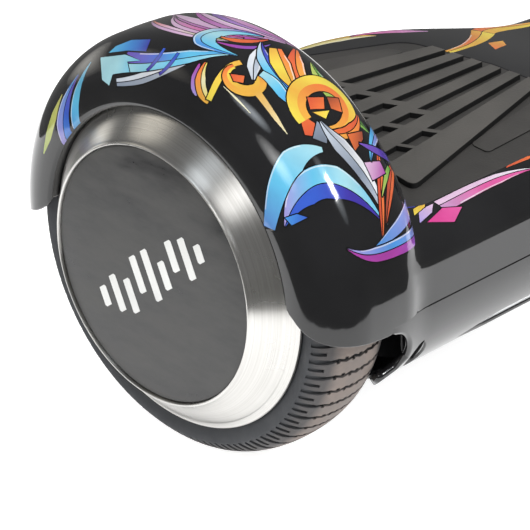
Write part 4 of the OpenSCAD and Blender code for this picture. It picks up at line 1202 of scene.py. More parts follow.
def build_upper_shell():
    """Right upper cover: printed deck skin, printed fender and the walls inside."""
    deck = Skin(deck_surface, COVER_WALL)
    bottom_rear = [(s, seam_t(s, LIP + SEAM_CLEAR))
                   for s in np.linspace(HALF_GAP, CREASE_POINTS[0][0] - 1, 60)]
    fold = [(p[0], deck_t(*p)) for p in CREASE_POINTS]
    if fold[0][1] < 0:
        fold = fold[::-1]
    bottom_front = [(s, -t) for s, t in bottom_rear[::-1]]
    front_end = densify([(HALF_GAP, bottom_front[-1][1]), (HALF_GAP, bottom_rear[0][1])], 6)[1:-1]
    outline = bottom_rear + fold + bottom_front + front_end
    holes = [deck_points(densify(mat_outline(0.3) + [mat_outline(0.3)[0]], 5)[:-1]), status_outline(0.15)]
    spots = []
    for s in np.arange(4, 250, 4.0):
        flat = float(half_width(s)) - DECK_EDGE_RADIUS
        across = list(np.arange(0, flat - 2, 7))
        across += [flat + DECK_EDGE_RADIUS * a for a in np.radians(np.arange(0, 91, 6))]
        across += list(np.arange(flat + EDGE_ARC + 3, seam_t(s) - 1.5, 4))
        spots += [(s, t) for t in across] + [(s, -t) for t in across if t > 0]
    spots = np.array(spots)
    spots = spots[inside(spots, outline)]
    for hole in holes:
        spots = spots[~inside(spots, hole)]
    patches = deck_print()
    flip = np.array([1.0, -1.0])
    lines = [np.vstack([p.outline, p.outline[:1]]) * flip for p in patches]
    coarse = spots[::3]
    deck.fix = blend_at_crease
    deck.build(outline, holes, lines, spots, coarse, painter(patches, lambda uv: uv * flip),
               lip_at=lambda uv: np.where(np.abs(uv[:, 1]) > 60, LIP, 0.15))

    fender = Skin(fender_surface, FENDER_WALL)
    corner_run = float(np.interp(-(-6.0), -FENDER_PATH[:, 1], FENDER_RUN))
    end_run = CREASE[-1][0]
    runs = list(np.linspace(0, corner_run, 46))
    jog = [(q, seam_v(q, SEAM_HEIGHT + LIP + SEAM_CLEAR))
           for q in np.linspace(corner_run + 0.2, end_run - 0.3, 14)]
    front_low = [(q, fender_end(q)) for q in runs] + jog
    rear_low = [(q, -fender_end(q, False)) for q in runs] + [(q, -v) for q, v in jog]
    rim = densify([(0.0, front_low[0][1]), (0.0, rear_low[0][1])], 3.0)[1:-1]
    outline = rear_low + list(CREASE) + front_low[::-1] + rim
    spots = []
    marks = [q for q in FENDER_RUN if 0 < q < 86] + [92.0, 99.0, 106.0, 114.0, 122.0]
    for q in marks:
        for v in np.arange(-156, 156.1, 2.6):
            spots.append((q, v))
    spots = np.array(spots)
    spots = spots[inside(spots, outline)]
    patches = fender_print()

    def to_print(uv):
        return np.stack([uv[:, 1], np.interp(uv[:, 0], PRINT_RUNS, PRINT_MARKS)], -1)

    lines = []
    for p in patches:
        loop = np.vstack([p.outline, p.outline[:1]])
        lines.append(np.stack([np.interp(loop[:, 1], PRINT_MARKS, PRINT_RUNS), loop[:, 0]], -1))
    fender.fix = blend_at_crease
    paint = painter(patches, to_print, lambda at: at[:, 1] < 0.6)
    lines.append(densify([(float(np.interp(0.6, PRINT_MARKS, PRINT_RUNS)), v) for v in (-135.0, 137.0)], 3))
    fender.build(outline, [], lines, spots, spots[::2], paint,
                 wall_at=lambda uv: np.interp(uv[:, 0], [2.0, 9.0], [1.2, FENDER_WALL]),
                 lip_at=lambda uv: np.interp(uv[:, 0], [0.0, 1.0, 55, 70], [0.3, 0.9, 0.9, 0.15]))
    return deck, fender


def slab(outline, low, high):
    """Flat plate that stands across the board: outline in (y, z), between two stations."""
    uv, tri = triangulate(outline, [], [], [])
    points = [(low, y, z) for y, z in uv] + [(high, y, z) for y, z in uv]
    n = len(uv)
    faces = [[int(i) for i in t][::-1] for t in tri] + [[n + int(i) for i in t] for t in tri]
    for a, b in boundary_edges(tri):
        faces.append([int(a), int(b), n + int(b), n + int(a)])
    return points, faces


def section_outline(surface, station, reach, inset):
    """Section across a cover at a station, as (y, z), a little inside its outer skin."""
    ts = np.linspace(-reach, reach, 64)
    at = np.full(64, float(station))
    points = surface(at, ts)
    normals = surface_normals(surface, at, ts)
    normals[:, 0] = 0
    normals /= np.linalg.norm(normals, axis=1, keepdims=True)
    inner = points - normals * inset
    return [(float(y), float(z)) for _, y, z in inner]


def circle(cy, cz, radius, n=40):
    return [(cy + radius * math.cos(2 * math.pi * i / n), cz + radius * math.sin(2 * math.pi * i / n))
            for i in range(n)]


def join_meshes(name, meshes):
    """One mesh from several, with their normals and layers kept."""
    objects = []
    for mesh in meshes:
        objects.append(link(bpy.data.objects.new(name, mesh)))
    with bpy.context.temp_override(active_object=objects[0], selected_editable_objects=objects,
                                   object=objects[0], selected_objects=objects):
        bpy.ops.object.join()
    mesh = objects[0].data
    bpy.data.objects.remove(objects[0])
    mesh.name = name
    return mesh


def finish_plain(name, points, faces, side, degrees=35):
    """A plain piece with the same layers as a skin, so that the two can be joined."""
    turned = faces if side == 1 else [f[::-1] for f in faces]
    mesh = mesh_from(name, mirrored(points, side), turned)
    shade_by_angle(mesh, degrees)
    mesh.color_attributes.new("print", "FLOAT_COLOR", "CORNER")
    dark = np.zeros(len(mesh.loops) * 4, np.float32)
    mesh.color_attributes["print"].data.foreach_set("color", dark)
    mesh.uv_layers.new(name="skin")
    return mesh


# ---------------------------------------------------------------------------
# Lower shell, for the right half
# ---------------------------------------------------------------------------
SCREWS = [(227, 83), (150, 62), (52, 46)]
SCREW_WELL = 4.7
SCREW_FLOOR = 66.0
LIGHT_ANGLES = (39.6, 56.4)
LIGHT_FROM, LIGHT_SHOULDER, LIGHT_TIP = 112.0, 176.0, 198.0
ARCH_RADIUS = 86.6
BELLY_END = 232.0
LOWER_END = 252.0
# Rear panel: from and to along the board, lowest and highest point, and its corner radii
PANEL = (118.0, 176.0, 53.5, 76.2)
PANEL_CORNERS = (3.0, 2.0)
PANEL_FRAME = (79.6, 86.0)
PANEL_PLATE = (79.5, 82.0)
# Openings in its plate, as (station, height, radius), and the ears that hold the port's cover
BUTTON_HOLE = (130.0, 63.5, 8.0)
PORT_HOLE = (164.0, 63.5, 7.9)
HINGE_EARS = (157.5, 168.5)


def belly_flat(s):
    w = float(half_width(s))
    return w - BELLY_EDGE_RADIUS * w / BODY_HALF_WIDTH


def belly_angle_t(s, degrees):
    """Distance across at an angle round the edge: 0 at the belly, 90 at the seam."""
    return belly_flat(s) + BELLY_ARC * degrees / 90


def arch_t(s):
    """Where the round clearance for the wheel cuts the skin at a station."""
    low, high = belly_flat(s) + 1, belly_angle_t(s, 89)
    for _ in range(40):
        middle = (low + high) / 2
        _, y, z = belly_surface(np.array(float(s)), np.array(middle))
        if math.hypot(y, z - AXLE_HEIGHT) < ARCH_RADIUS:
            low = middle
        else:
            high = middle
    return high


def mouth_edge():
    """Front edge of the lower cover's outer end: (station, distance across), from belly to seam."""
    edge = [(BELLY_END, t) for t in np.linspace(0, arch_t(BELLY_END), 26)]
    edge += [(s, arch_t(s)) for s in np.linspace(BELLY_END + 1, 243.6, 11)]
    edge += [(s, belly_t_at(s, z)) for s, z in ((244.6, 46.0), (244.9, 47.2), (244.3, 48.2))]
    edge += [(s, belly_t_at(s, z)) for s, z in zip(np.linspace(243.3, 236, 7), np.linspace(48.8, 50.4, 7))]
    for a in np.linspace(162, 92, 26):
        k = 1.0 + 0.07 * math.sin(math.radians(a))
        s = LOWER_END + 20.5 * k * math.cos(math.radians(a))
        z = 46 + 28.5 * k * math.sin(math.radians(a))
        edge.append((s, belly_t_at(s, z)))
    edge.append((LOWER_END - 0.4, belly_t_at(LOWER_END - 0.4, 76.4)))
    edge.append((LOWER_END - 0.4, belly_t_at(LOWER_END - 0.4, SEAM_HEIGHT - LIP)))
    return edge


def light_outline(grow):
    """Blade-shaped opening of the headlight on the front edge of the underside."""
    low, high = LIGHT_ANGLES
    g = grow * 90 / BELLY_ARC
    middle = (low + high) / 2
    # Size of the round corners along the board, in millimetres, and round the edge, in degrees
    corner, sweep = 5.5, 6.5
    out = []
    for a in (180, 205, 230, 255, 270):
        r = math.radians(a)
        out.append((LIGHT_FROM + corner - grow + corner * math.cos(r), low - g + sweep + sweep * math.sin(r)))
    out += [(s, low - g) for s in np.arange(LIGHT_FROM + 12, LIGHT_SHOULDER - 2, 6)]
    out += [(LIGHT_SHOULDER, low - g), (LIGHT_SHOULDER + 3, low - g + 0.9)]
    tip = LIGHT_TIP + grow
    out += [(tip - 3, middle - 1.4), (tip, middle), (tip - 3, middle + 1.4)]
    out += [(LIGHT_SHOULDER + 3, high + g - 0.9), (LIGHT_SHOULDER, high + g)]
    out += [(s, high + g) for s in np.arange(LIGHT_SHOULDER - 4, LIGHT_FROM + 11, -6)]
    for a in (90, 105, 130, 155):
        r = math.radians(a)
        out.append((LIGHT_FROM + corner - grow + corner * math.cos(r),
                    high + g - sweep + sweep * math.sin(r)))
    return [(s, belly_angle_t(s, a)) for s, a in out]


def panel_outline(grow=0.0):
    """Opening of the rear panel with the button and the charging port."""
    s0, s1, z0, z1 = PANEL
    s0, s1, z0 = s0 - grow, s1 + grow, z0 - grow
    low, high = PANEL_CORNERS
    out = []
    for cx, cz, radius, start in ((s1 - low, z0 + low, low, 270), (s1 - high, z1 - high, high, 0),
                                  (s0 + high, z1 - high, high, 90), (s0 + low, z0 + low, low, 180)):
        out += arc(cx, cz, radius, start, start + 90, 5)
    out = densify(out + out[:1], 5)[:-1]
    return [(s, belly_t_at(s, z, -1)) for s, z in out]


def tube(cx, cy, inner, outer, low_at, floor, roof, n=28):
    """Upright screw well: a tube that starts at the skin and ends in a floor."""
    points, faces = [], []
    for i in range(n):
        a = 2 * math.pi * i / n
        c, s = math.cos(a), math.sin(a)
        points.append((cx + inner * c, cy + inner * s, low_at(cx + inner * c, cy + inner * s)))
        points.append((cx + inner * c, cy + inner * s, floor))
        points.append((cx + outer * c, cy + outer * s, roof))
        points.append((cx + outer * c, cy + outer * s, low_at(cx + outer * c, cy + outer * s)))
    for i in range(n):
        a, b = 4 * i, 4 * ((i + 1) % n)
        for k in range(4):
            if k != 1:
                m = (k + 1) % 4
                faces.append([a + k, a + m, b + m, b + k])
    inner_floor = len(points)
    points.append((cx, cy, floor))
    points.append((cx, cy, roof))
    for i in range(n):
        a, b = 4 * i, 4 * ((i + 1) % n)
        faces.append([a + 1, inner_floor, b + 1])
        faces.append([a + 2, b + 2, inner_floor + 1])
    return points, faces


def belly_height_at(s, y):
    """Height of the lower skin, a little inside it, at a place seen from below."""
    t = belly_t(s, y)
    return float(belly_surface(np.array(float(s)), np.array(t))[2]) + 0.9


def box_part(low, high, bevel=0.4):
    """Block with its edges broken, as points and faces."""
    bm = bmesh.new()
    bmesh.ops.create_cube(bm, size=1.0)
    size = [h - l for l, h in zip(low, high)]
    middle = [(h + l) / 2 for l, h in zip(low, high)]
    bmesh.ops.scale(bm, vec=size, verts=bm.verts)
    bmesh.ops.translate(bm, vec=middle, verts=bm.verts)
    bmesh.ops.bevel(bm, geom=bm.edges[:], offset=bevel, segments=2, affect="EDGES", profile=0.5)
    bm.verts.index_update()
    points = [tuple(v.co) for v in bm.verts]
    faces = [[v.index for v in f.verts] for f in bm.faces]
    bm.free()
    return points, faces


def frame_of(outline_out, outline_in, low, high):
    """Prism ring between two outlines with the same number of points, from one y to another."""
    n = len(outline_out)
    points = []
    for (x, z), (u, w) in zip(outline_out, outline_in):
        points += [(x, low, z), (u, low, w), (u, high, w), (x, high, z)]
    faces = []
    for i in range(n):
        a, b = 4 * i, 4 * ((i + 1) % n)
        for k in range(4):
            m = (k + 1) % 4
            faces.append([a + k, b + k, b + m, a + m])
    return points, faces


def outward(points, faces):
    """The same faces, turned so that they look outwards."""
    bm = bmesh.new()
    verts = [bm.verts.new(p) for p in points]
    for f in faces:
        bm.faces.new([verts[i] for i in f])
    bmesh.ops.recalc_face_normals(bm, faces=bm.faces[:])
    bm.verts.index_update()
    out = [[v.index for v in f.verts] for f in bm.faces]
    bm.free()
    return points, out


def build_lower_shell(panel):
    """Skin of the right lower cover, with or without the opening of the rear panel."""
    skin = Skin(belly_surface, COVER_WALL)
    front = mouth_edge()
    seam = [(s, belly_t_at(s, SEAM_HEIGHT - LIP)) for s in np.linspace(LOWER_END - 3, HALF_GAP, 72)]
    near = [(HALF_GAP, t) for t in np.linspace(seam[-1][1], 0, 30)[1:-1]]
    half = front + seam + near
    outline = half + [(HALF_GAP, 0.0)] + [(s, -t) for s, t in half[::-1][:-1]]
    holes = [light_outline(0.35)]
    for s, y in SCREWS:
        for side in (-1, 1):
            ring_points = [(s + SCREW_WELL * math.cos(a), side * y + SCREW_WELL * math.sin(a))
                           for a in np.linspace(0, 2 * math.pi, 29)[:-1]]
            holes.append([(a, belly_t(a, b)) for a, b in ring_points])
    if panel:
        holes.append(panel_outline())
    spots = []
    for s in np.arange(4, 252, 4.0):
        flat = belly_flat(s)
        across = list(np.arange(0, flat - 3, 8)) + [flat + BELLY_ARC * a / 90 for a in np.arange(0, 88, 5)]
        spots += [(s, t) for t in across] + [(s, -t) for t in across if t > 0]
    spots = np.array(spots)
    spots = spots[inside(spots, outline)]
    for hole in holes:
        spots = spots[~inside(spots, hole)]

    def lip_at(uv):
        z = belly_surface(uv[:, 0], uv[:, 1])[:, 2]
        at_mouth = smooth((uv[:, 0] - 226) / 4) * smooth((z - 52) / 3) * smooth((251.3 - uv[:, 0]) / 2)
        return LIP + 1.5 * at_mouth

    skin.build(outline, holes, [], spots, spots[::2],
               wall_at=lambda uv: COVER_WALL + 1.0 * smooth((uv[:, 0] - 224) / 4), lip_at=lip_at)
    return skin


# ---------------------------------------------------------------------------
# Turned pieces and the tyre
# ---------------------------------------------------------------------------
def lathe(name, profile, side, turns=192, angle=28):
    """Closed turned piece round the axle. Profile: (radius, offset outwards), in order."""
    n = len(profile)
    points, faces, spots = [], [], []
    run = np.concatenate([[0], np.cumsum([math.dist(a, b) for a, b in zip(profile, profile[1:])])])
    for i in range(turns):
        a = 2 * math.pi * i / turns
        for radius, out in profile:
            points.append((side * (WHEEL_OFFSET + out), radius * math.sin(a),
                           AXLE_HEIGHT + radius * math.cos(a)))
    for i in range(turns):
        j = (i + 1) % turns
        for k in range(n):
            m = (k + 1) % n
            face = [i * n + k, i * n + m, j * n + m, j * n + k]
            u0, u1 = i / turns, (i + 1) / turns
            v0, v1 = run[k] * MM, (run[m] if m else run[-1]) * MM
            around = [(u0, v0), (u0, v1), (u1, v1), (u1, v0)]
            order = range(4) if side == 1 else range(3, -1, -1)
            faces.append([face[o] for o in order])
            spots += [around[o] for o in order]
    mesh = mesh_from(name, points, faces)
    layer = mesh.uv_layers.new(name="lathe")
    layer.data.foreach_set("uv", np.array(spots, np.float32).ravel())
    bm = bmesh.new()
    bm.from_mesh(mesh)
    bmesh.ops.remove_doubles(bm, verts=bm.verts, dist=1e-6)
    bmesh.ops.recalc_face_normals(bm, faces=bm.faces)
    bm.to_mesh(mesh)
    bm.free()
    shade_by_angle(mesh, angle)
    return mesh


TYRE_HALF = 21.0
BEAD_RADIUS, BEAD_HALF = 70.0, 18.2
TYRE_BORE = 64.1
GROOVE_DEPTH = 1.5
SIPES = 64
SIPE_PITCH = 360.0 / SIPES


def tyre_path():
    """Outer profile of the tyre from its outer bead over the tread to its inner bead: (radius, offset)."""
    half = [(BEAD_RADIUS, BEAD_HALF),
            (72.0, 19.4), (74.0, 20.4), (75.2, 20.9), (76.0, TYRE_HALF), (76.7, 20.85),
            (77.6, 20.2), (78.8, 19.05), (80.1, 17.8), (81.3, 16.35), (82.4, 14.6), (83.3, 12.5),
            (84.0, 10.0), (84.5, 7.5), (84.8, 5.0), (84.95, 2.5), (85.0, 0.0)]
    return np.array(half + [(r, -out) for r, out in half[-2::-1]])


TYRE_PATH = tyre_path()
TYRE_RUN = np.concatenate([[0], np.cumsum(np.linalg.norm(np.diff(TYRE_PATH, axis=0), axis=1))])


def tyre_place(u, angle, depth=0.0):
    """Point of the tyre: run u from its middle (+ outwards), angle round it, depth below the surface."""
    def profile(run):
        return [np.interp(run, TYRE_RUN, TYRE_PATH[:, k]) for k in (0, 1)]

    q = TYRE_RUN[-1] / 2 - u
    step = 0.3
    radius, out = profile(q)
    dr, do = [after - before for after, before in zip(profile(q + step), profile(q - step))]
    length = math.hypot(dr, do) or 1.0
    normal_r, normal_o = -do / length, dr / length
    radius -= normal_r * depth
    out -= normal_o * depth
    a = math.radians(angle)
    return (WHEEL_OFFSET + out, -radius * math.sin(a), AXLE_HEIGHT + radius * math.cos(a))


def groove_outlines():
    """Grooves of one pitch, in (run, angle): a wandering sipe with notches, and a slot between."""
    middle = [(-23.4, 1.4), (-20.0, 1.3), (-16.0, 1.2), (-14.8, 1.2), (-11.5, 0.7), (-7.4, 1.7),
              (-3.6, 1.0), (0.0, 1.9), (3.6, 0.9), (7.4, 1.6), (11.5, 0.8), (14.8, 1.2), (16.0, 1.2),
              (20.0, 1.3), (23.4, 1.4)]
    half = [0.6, 0.85, 0.8, 0.6, 0.5, 0.46, 0.52, 0.46, 0.52, 0.46, 0.5, 0.6, 0.8, 0.85, 0.6]
    low = [(u, a - h) for (u, a), h in zip(middle, half)]
    top = [(u, a + h) for (u, a), h in zip(middle, half)]
    made = [low + top[::-1]]
    for u, up in ((-11.2, 1), (-7.2, -1), (-3.4, 1), (0.2, -1), (3.8, 1), (7.6, -1), (11.4, 1)):
        a = float(np.interp(u, [m[0] for m in middle], [m[1] for m in middle]))
        low_a, high_a = (a - 0.2, a + 1.3) if up > 0 else (a - 1.25, a + 0.2)
        made.append([(u - 0.95, low_a), (u + 0.95, low_a), (u + 0.75, high_a), (u - 0.75, high_a)])
    for sign in (-1, 1):
        made.append([(sign * 16.8, 3.65), (sign * 20.5, 3.5), (sign * 22.8, 3.6), (sign * 23.4, 4.15),
                     (sign * 22.8, 4.7), (sign * 20.5, 4.85), (sign * 16.8, 4.7)])
    return made


def build_tyre(name, side):
    """Tyre with its grooves cut into it: one pitch of the pattern, repeated round the wheel."""
    reach = TYRE_RUN[-1] / 2
    us = np.concatenate([np.arange(-reach, reach, 2.4), [reach]])
    low_edge = [(float(u), 0.0) for u in us]
    high_edge = [(float(u), SIPE_PITCH) for u in us[::-1]]
    outline = low_edge + [(reach, SIPE_PITCH * f) for f in (0.25, 0.5, 0.75)]
    outline += high_edge + [(-reach, SIPE_PITCH * f) for f in (0.75, 0.5, 0.25)]
    grooves = groove_outlines()
    lines = [densify(g + g[:1], 1.6) for g in grooves]
    spots = [(float(u), SIPE_PITCH * f) for u in us[1:-1] for f in (0.25, 0.5, 0.75)]
    uv, tri = triangulate(outline, [], lines, spots)
    middle = uv[tri].mean(1)
    cut = np.zeros(len(tri), bool)
    for g in grooves:
        cut |= inside(middle, g)
    top_tri, low_tri = tri[~cut], tri[cut]
    rim_edges = boundary_edges(low_tri)
    points, faces, dust = [], [], []

    def dust_at(u, deep):
        worn = float(smooth((14.2 - abs(u)) / 3.0))
        skirt = 0.22 * float(smooth((24 - abs(u)) / 6.0))
        return (0.06 if deep else 1.0) * max(worn, skirt)

    for k in range(SIPES):
        base = len(points)
        turn = k * SIPE_PITCH
        for deep in (0.0, GROOVE_DEPTH):
            for u, a in uv:
                fade = 1.0 - 0.5 * float(smooth((abs(u) - 15) / 8))
                x, y, z = tyre_place(float(u), float(a) + turn, deep * fade)
                points.append((side * x, y, z))
        n = len(uv)
        for t in top_tri:
            faces.append([base + int(i) for i in t])
            dust += [dust_at(uv[i][0], False) for i in t]
        for t in low_tri:
            faces.append([base + n + int(i) for i in t])
            dust += [dust_at(uv[i][0], True) for i in t]
        for a, b in rim_edges:
            faces.append([base + int(a), base + int(b), base + n + int(b), base + n + int(a)])
            dust += [0.5 * dust_at(uv[a][0], False), 0.5 * dust_at(uv[b][0], False), 0.02, 0.02]
    steps = SIPES * 4
    inner = [(BEAD_RADIUS, BEAD_HALF), (TYRE_BORE, BEAD_HALF), (TYRE_BORE, -BEAD_HALF),
             (BEAD_RADIUS, -BEAD_HALF)]
    first = len(points)
    for i in range(steps):
        a = 2 * math.pi * i / steps
        for radius, out in inner:
            points.append((side * (WHEEL_OFFSET + out), -radius * math.sin(a),
                           AXLE_HEIGHT + radius * math.cos(a)))
    for i in range(steps):
        j = (i + 1) % steps
        for k in range(3):
            faces.append([first + 4 * i + k, first + 4 * i + k + 1, first + 4 * j + k + 1, first + 4 * j + k])
            dust += [0.0] * 4
    mesh = mesh_from(name, points, faces)
    layer = mesh.color_attributes.new("dust", "FLOAT_COLOR", "CORNER")
    colour = np.repeat(np.array(dust, np.float32)[:, None], 4, 1)
    colour[:, 3] = 1.0
    layer.data.foreach_set("color", colour.ravel())
    bm = bmesh.new()
    bm.from_mesh(mesh)
    loose = [v for v in bm.verts if not v.link_faces]
    bmesh.ops.delete(bm, geom=loose, context="VERTS")
    bmesh.ops.remove_doubles(bm, verts=bm.verts, dist=2e-6)
    bmesh.ops.recalc_face_normals(bm, faces=bm.faces)
    bm.to_mesh(mesh)
    bm.free()
    shade_by_angle(mesh, 38)
    return mesh


RING_PROFILE = [
    (64.4, 20.4), (58.0, 20.4), (58.0, 18.4), (64.0, 18.4), (69.9, 18.75), (70.2, 19.1), (70.2, 20.1),
    (69.9, 20.4), (69.3, 20.55), (67.6, 21.35), (67.2, 21.75), (67.0, 22.1), (66.5, 22.55),
    (63.0, 25.75), (59.5, 28.95), (56.6, 31.95), (56.05, 33.0), (55.8, 33.6), (55.4, 33.95),
    (54.95, 34.0), (54.65, 33.8), (54.5, 33.4), (54.5, 30.4), (50.5, 30.4), (50.5, 28.8), (54.9, 28.8)]
CAP_PROFILE = [
    (1.0, 33.0), (20.0, 33.0), (40.0, 33.0), (53.4, 33.0), (53.9, 32.95), (54.2, 32.75), (54.32, 32.4),
    (54.35, 31.9), (54.35, 30.5), (30.0, 30.5), (1.0, 30.5)]


def build_cap(name, side):
    """Hub cap: a turned disc, closed in the middle on both faces."""
    mesh = lathe(name, CAP_PROFILE, side)
    bm = bmesh.new()
    bm.from_mesh(mesh)
    open_edges = [e for e in bm.edges if len(e.link_faces) == 1]
    if open_edges:
        bmesh.ops.holes_fill(bm, edges=open_edges)
    bm.to_mesh(mesh)
    bm.free()
    return mesh


def emblem_shapes():
    """Generic mark on the hub cap: a row of slanted bars of changing height."""
    slant = 0.218
    width, step, full = 4.3, 8.5, 10.6
    spans = [(-0.25, 0.55), (-0.7, 0.75), (-1.0, 0.35), (-0.45, 1.0), (-1.0, 1.0), (-0.8, 0.3),
             (-0.35, 0.85), (-0.9, 0.7), (-0.5, 0.2)]
    shapes = []
    for k, (low, high) in enumerate(spans):
        x = (k - (len(spans) - 1) / 2) * step - width / 2
        y0, y1 = low * full, high * full
        cut = 0.9
        shapes.append([(x + slant * y0 + cut, y0), (x + width + slant * y0, y0),
                       (x + width + slant * (y1 - cut), y1 - cut), (x + width - cut + slant * y1, y1),
                       (x + slant * y1, y1), (x + slant * (y0 + cut), y0 + cut)])
    return shapes


def build_emblem(name, side, tilt):
    """Raised white marks, 0.16 mm thick, with their edges broken."""
    points, faces = [], []
    turn = math.radians(tilt)
    for shape in emblem_shapes():
        base = len(points)
        n = len(shape)
        centre = np.mean(shape, axis=0)
        for level, shrink in ((0.0, 1.0), (0.14, 1.0), (0.2, 0.985)):
            for x, y in shape:
                px = centre[0] + (x - centre[0]) * shrink
                py = centre[1] + (y - centre[1]) * shrink
                a = px * math.cos(turn) - py * math.sin(turn)
                b = px * math.sin(turn) + py * math.cos(turn)
                points.append((side * (WHEEL_OFFSET + 32.95 + level), side * a, AXLE_HEIGHT + b))
        for k in range(2):
            for i in range(n):
                j = (i + 1) % n
                low, high = base + k * n, base + (k + 1) * n
                faces.append([low + i, low + j, high + j, high + i])
        faces.append([base + 2 * n + i for i in range(n)])
        faces.append([base + i for i in range(n)][::-1])
    return mesh_from(name, *outward(points, faces))


# ---------------------------------------------------------------------------
# Foot mats
# ---------------------------------------------------------------------------
SLAB_START = 88.0


def plate(name, outline, holes, low, high, side, bevel=0.35):
    """Flat piece from outlines, extruded and with its upper edges rounded."""
    uv, tri = triangulate(outline, list(holes), [], [])
    points = [(x, y, high) for x, y in uv]
    bm = bmesh.new()
    verts = {}
    for t in tri:
        for i in t:
            if int(i) not in verts:
                verts[int(i)] = bm.verts.new(points[int(i)])
        bm.faces.new([verts[int(i)] for i in t])
    bmesh.ops.dissolve_limit(bm, angle_limit=math.radians(1), verts=bm.verts, edges=bm.edges)
    top = bm.faces[:]
    made = bmesh.ops.extrude_face_region(bm, geom=top)
    lower = [g for g in made["geom"] if isinstance(g, bmesh.types.BMVert)]
    bmesh.ops.translate(bm, vec=(0, 0, low - high), verts=lower)
    for f in bm.faces:
        f.normal_update()
    bmesh.ops.recalc_face_normals(bm, faces=bm.faces)
    edges = [e for e in bm.edges
             if all(abs(v.co.z - high) < 1e-4 for v in e.verts) and len(e.link_faces) == 2
             and e.calc_face_angle(0.0) > 0.8]
    if bevel:
        bmesh.ops.bevel(bm, geom=edges, offset=bevel, segments=3, affect="EDGES", profile=0.5,
                        clamp_overlap=True)
    for v in bm.verts:
        v.co.x *= side
        v.co *= MM
    if side < 0:
        bmesh.ops.reverse_faces(bm, faces=bm.faces)
    mesh = bpy.data.meshes.new(name)
    bm.to_mesh(mesh)
    bm.free()
    shade_by_angle(mesh, 40)
    return mesh


def slot_spacing(s):
    return 11 + 0.072 * (s - 90)


def slot_outline(line, start, stop):
    """One slot of the mat: line number, start and end station, slanted ends."""
    def edge(s, sign):
        return (s, (line + sign * 0.21) * slot_spacing(s))
    return [edge(start, -1), edge(stop, -1), edge(stop + 2.5, 1), edge(start + 2.5, 1)]


# ---------------------------------------------------------------------------
# Put the pieces together, right half first, then its mirror image
# ---------------------------------------------------------------------------
def build_upper(name, side):
    deck, fender = build_upper_shell()
    meshes = [deck.mesh(name, side), fender.mesh(name + "_fender", side)]
    end = section_outline(deck_surface, END_SECTION, seam_t(END_SECTION, 0.6), 0.5)
    well = section_outline(deck_surface, WELL_SECTION, seam_t(WELL_SECTION, 0.6), 0.6)
    walls = ((end, END_WALL, PIVOT_HEIGHT, PIVOT_NOTCH), (well, WELL_WALL, AXLE_HEIGHT, AXLE_NOTCH))
    for outline, (low, high), centre, radius in walls:
        bottom = min(z for _, z in outline)
        notch = [(radius * math.cos(a), centre + radius * math.sin(a))
                 for a in np.linspace(0, math.pi, 30)
                 if centre + radius * math.sin(a) > bottom + 0.3]
        points, faces = slab(order_loop(outline, notch), low, high)
        meshes.append(finish_plain(name + "_wall", *outward(points, faces), side))
    return join_meshes(name, meshes)


def order_loop(outline, notch):
    """Closed loop: over the outline, then back through the notch at its foot."""
    a = outline if outline[0][0] < outline[-1][0] else outline[::-1]
    b = notch if notch[0][0] > notch[-1][0] else notch[::-1]
    return a + b


def lower_notch(centre, radius, steps):
    """Lower half of a round opening, up to just below the seam, as (y, z)."""
    return [(radius * math.cos(a), centre + radius * math.sin(a))
            for a in np.linspace(math.pi, 2 * math.pi, steps)
            if centre + radius * math.sin(a) < SEAM_HEIGHT - 0.7]


def rear_panel():
    """Sunken panel: its frame, its plate with two openings, and two ears for the port's cover."""
    face, wide = [[(s, float(belly_surface(np.array(s), np.array(t))[2])) for s, t in panel_outline(grow)]
                  for grow in (0.0, 1.2)]
    parts = [frame_of(wide, face, *PANEL_FRAME)]
    uv, tri = triangulate(wide, [circle(*BUTTON_HOLE), circle(*PORT_HOLE)], [], [])
    n = len(uv)
    inner, outer = PANEL_PLATE
    points = [(x, outer, z) for x, z in uv] + [(x, inner, z) for x, z in uv]
    faces = [[int(i) for i in t] for t in tri] + [[n + int(i) for i in t][::-1] for t in tri]
    for a, b in boundary_edges(tri):
        faces.append([int(b), int(a), n + int(a), n + int(b)])
    parts.append((points, faces))
    for x in HINGE_EARS:
        parts.append(box_part((x, 81.0, 72.6), (x + 2, 90.8, PANEL[3])))
    return parts


def build_lower(name, side):
    panel = side == 1
    skin = build_lower_shell(panel)
    meshes = [skin.mesh(name, side)]
    points, faces = [], []

    def add(part):
        base = len(points)
        points.extend(part[0])
        faces.extend([[base + i for i in f] for f in part[1]])

    for s, y in SCREWS:
        for flip in (-1, 1):
            add(tube(s, flip * y, SCREW_WELL, 5.75, belly_height_at, SCREW_FLOOR, SCREW_FLOOR + 3))
    below_seam = SEAM_HEIGHT - 0.6
    end = section_outline(belly_surface, END_SECTION, belly_t_at(END_SECTION, below_seam), 0.5)
    well = section_outline(belly_surface, WELL_SECTION, belly_t_at(WELL_SECTION, below_seam), 0.6)
    notch = lower_notch(PIVOT_HEIGHT, PIVOT_NOTCH, 40)
    shoulder = math.sqrt(PIVOT_NOTCH ** 2 - 2.9 ** 2)
    notch = [(-shoulder, PIVOT_HEIGHT + 2.9)] + notch + [(shoulder, PIVOT_HEIGHT + 2.9)]
    add(slab(order_loop(end, notch[::-1]), *END_WALL))
    axle = lower_notch(AXLE_HEIGHT, AXLE_NOTCH, 30)
    add(slab(order_loop(well, axle[::-1]), *WELL_WALL))
    if panel:
        for part in rear_panel():
            add(part)
    meshes.append(finish_plain(name + "_inside", *outward(points, faces), side))
    return join_meshes(name, meshes)


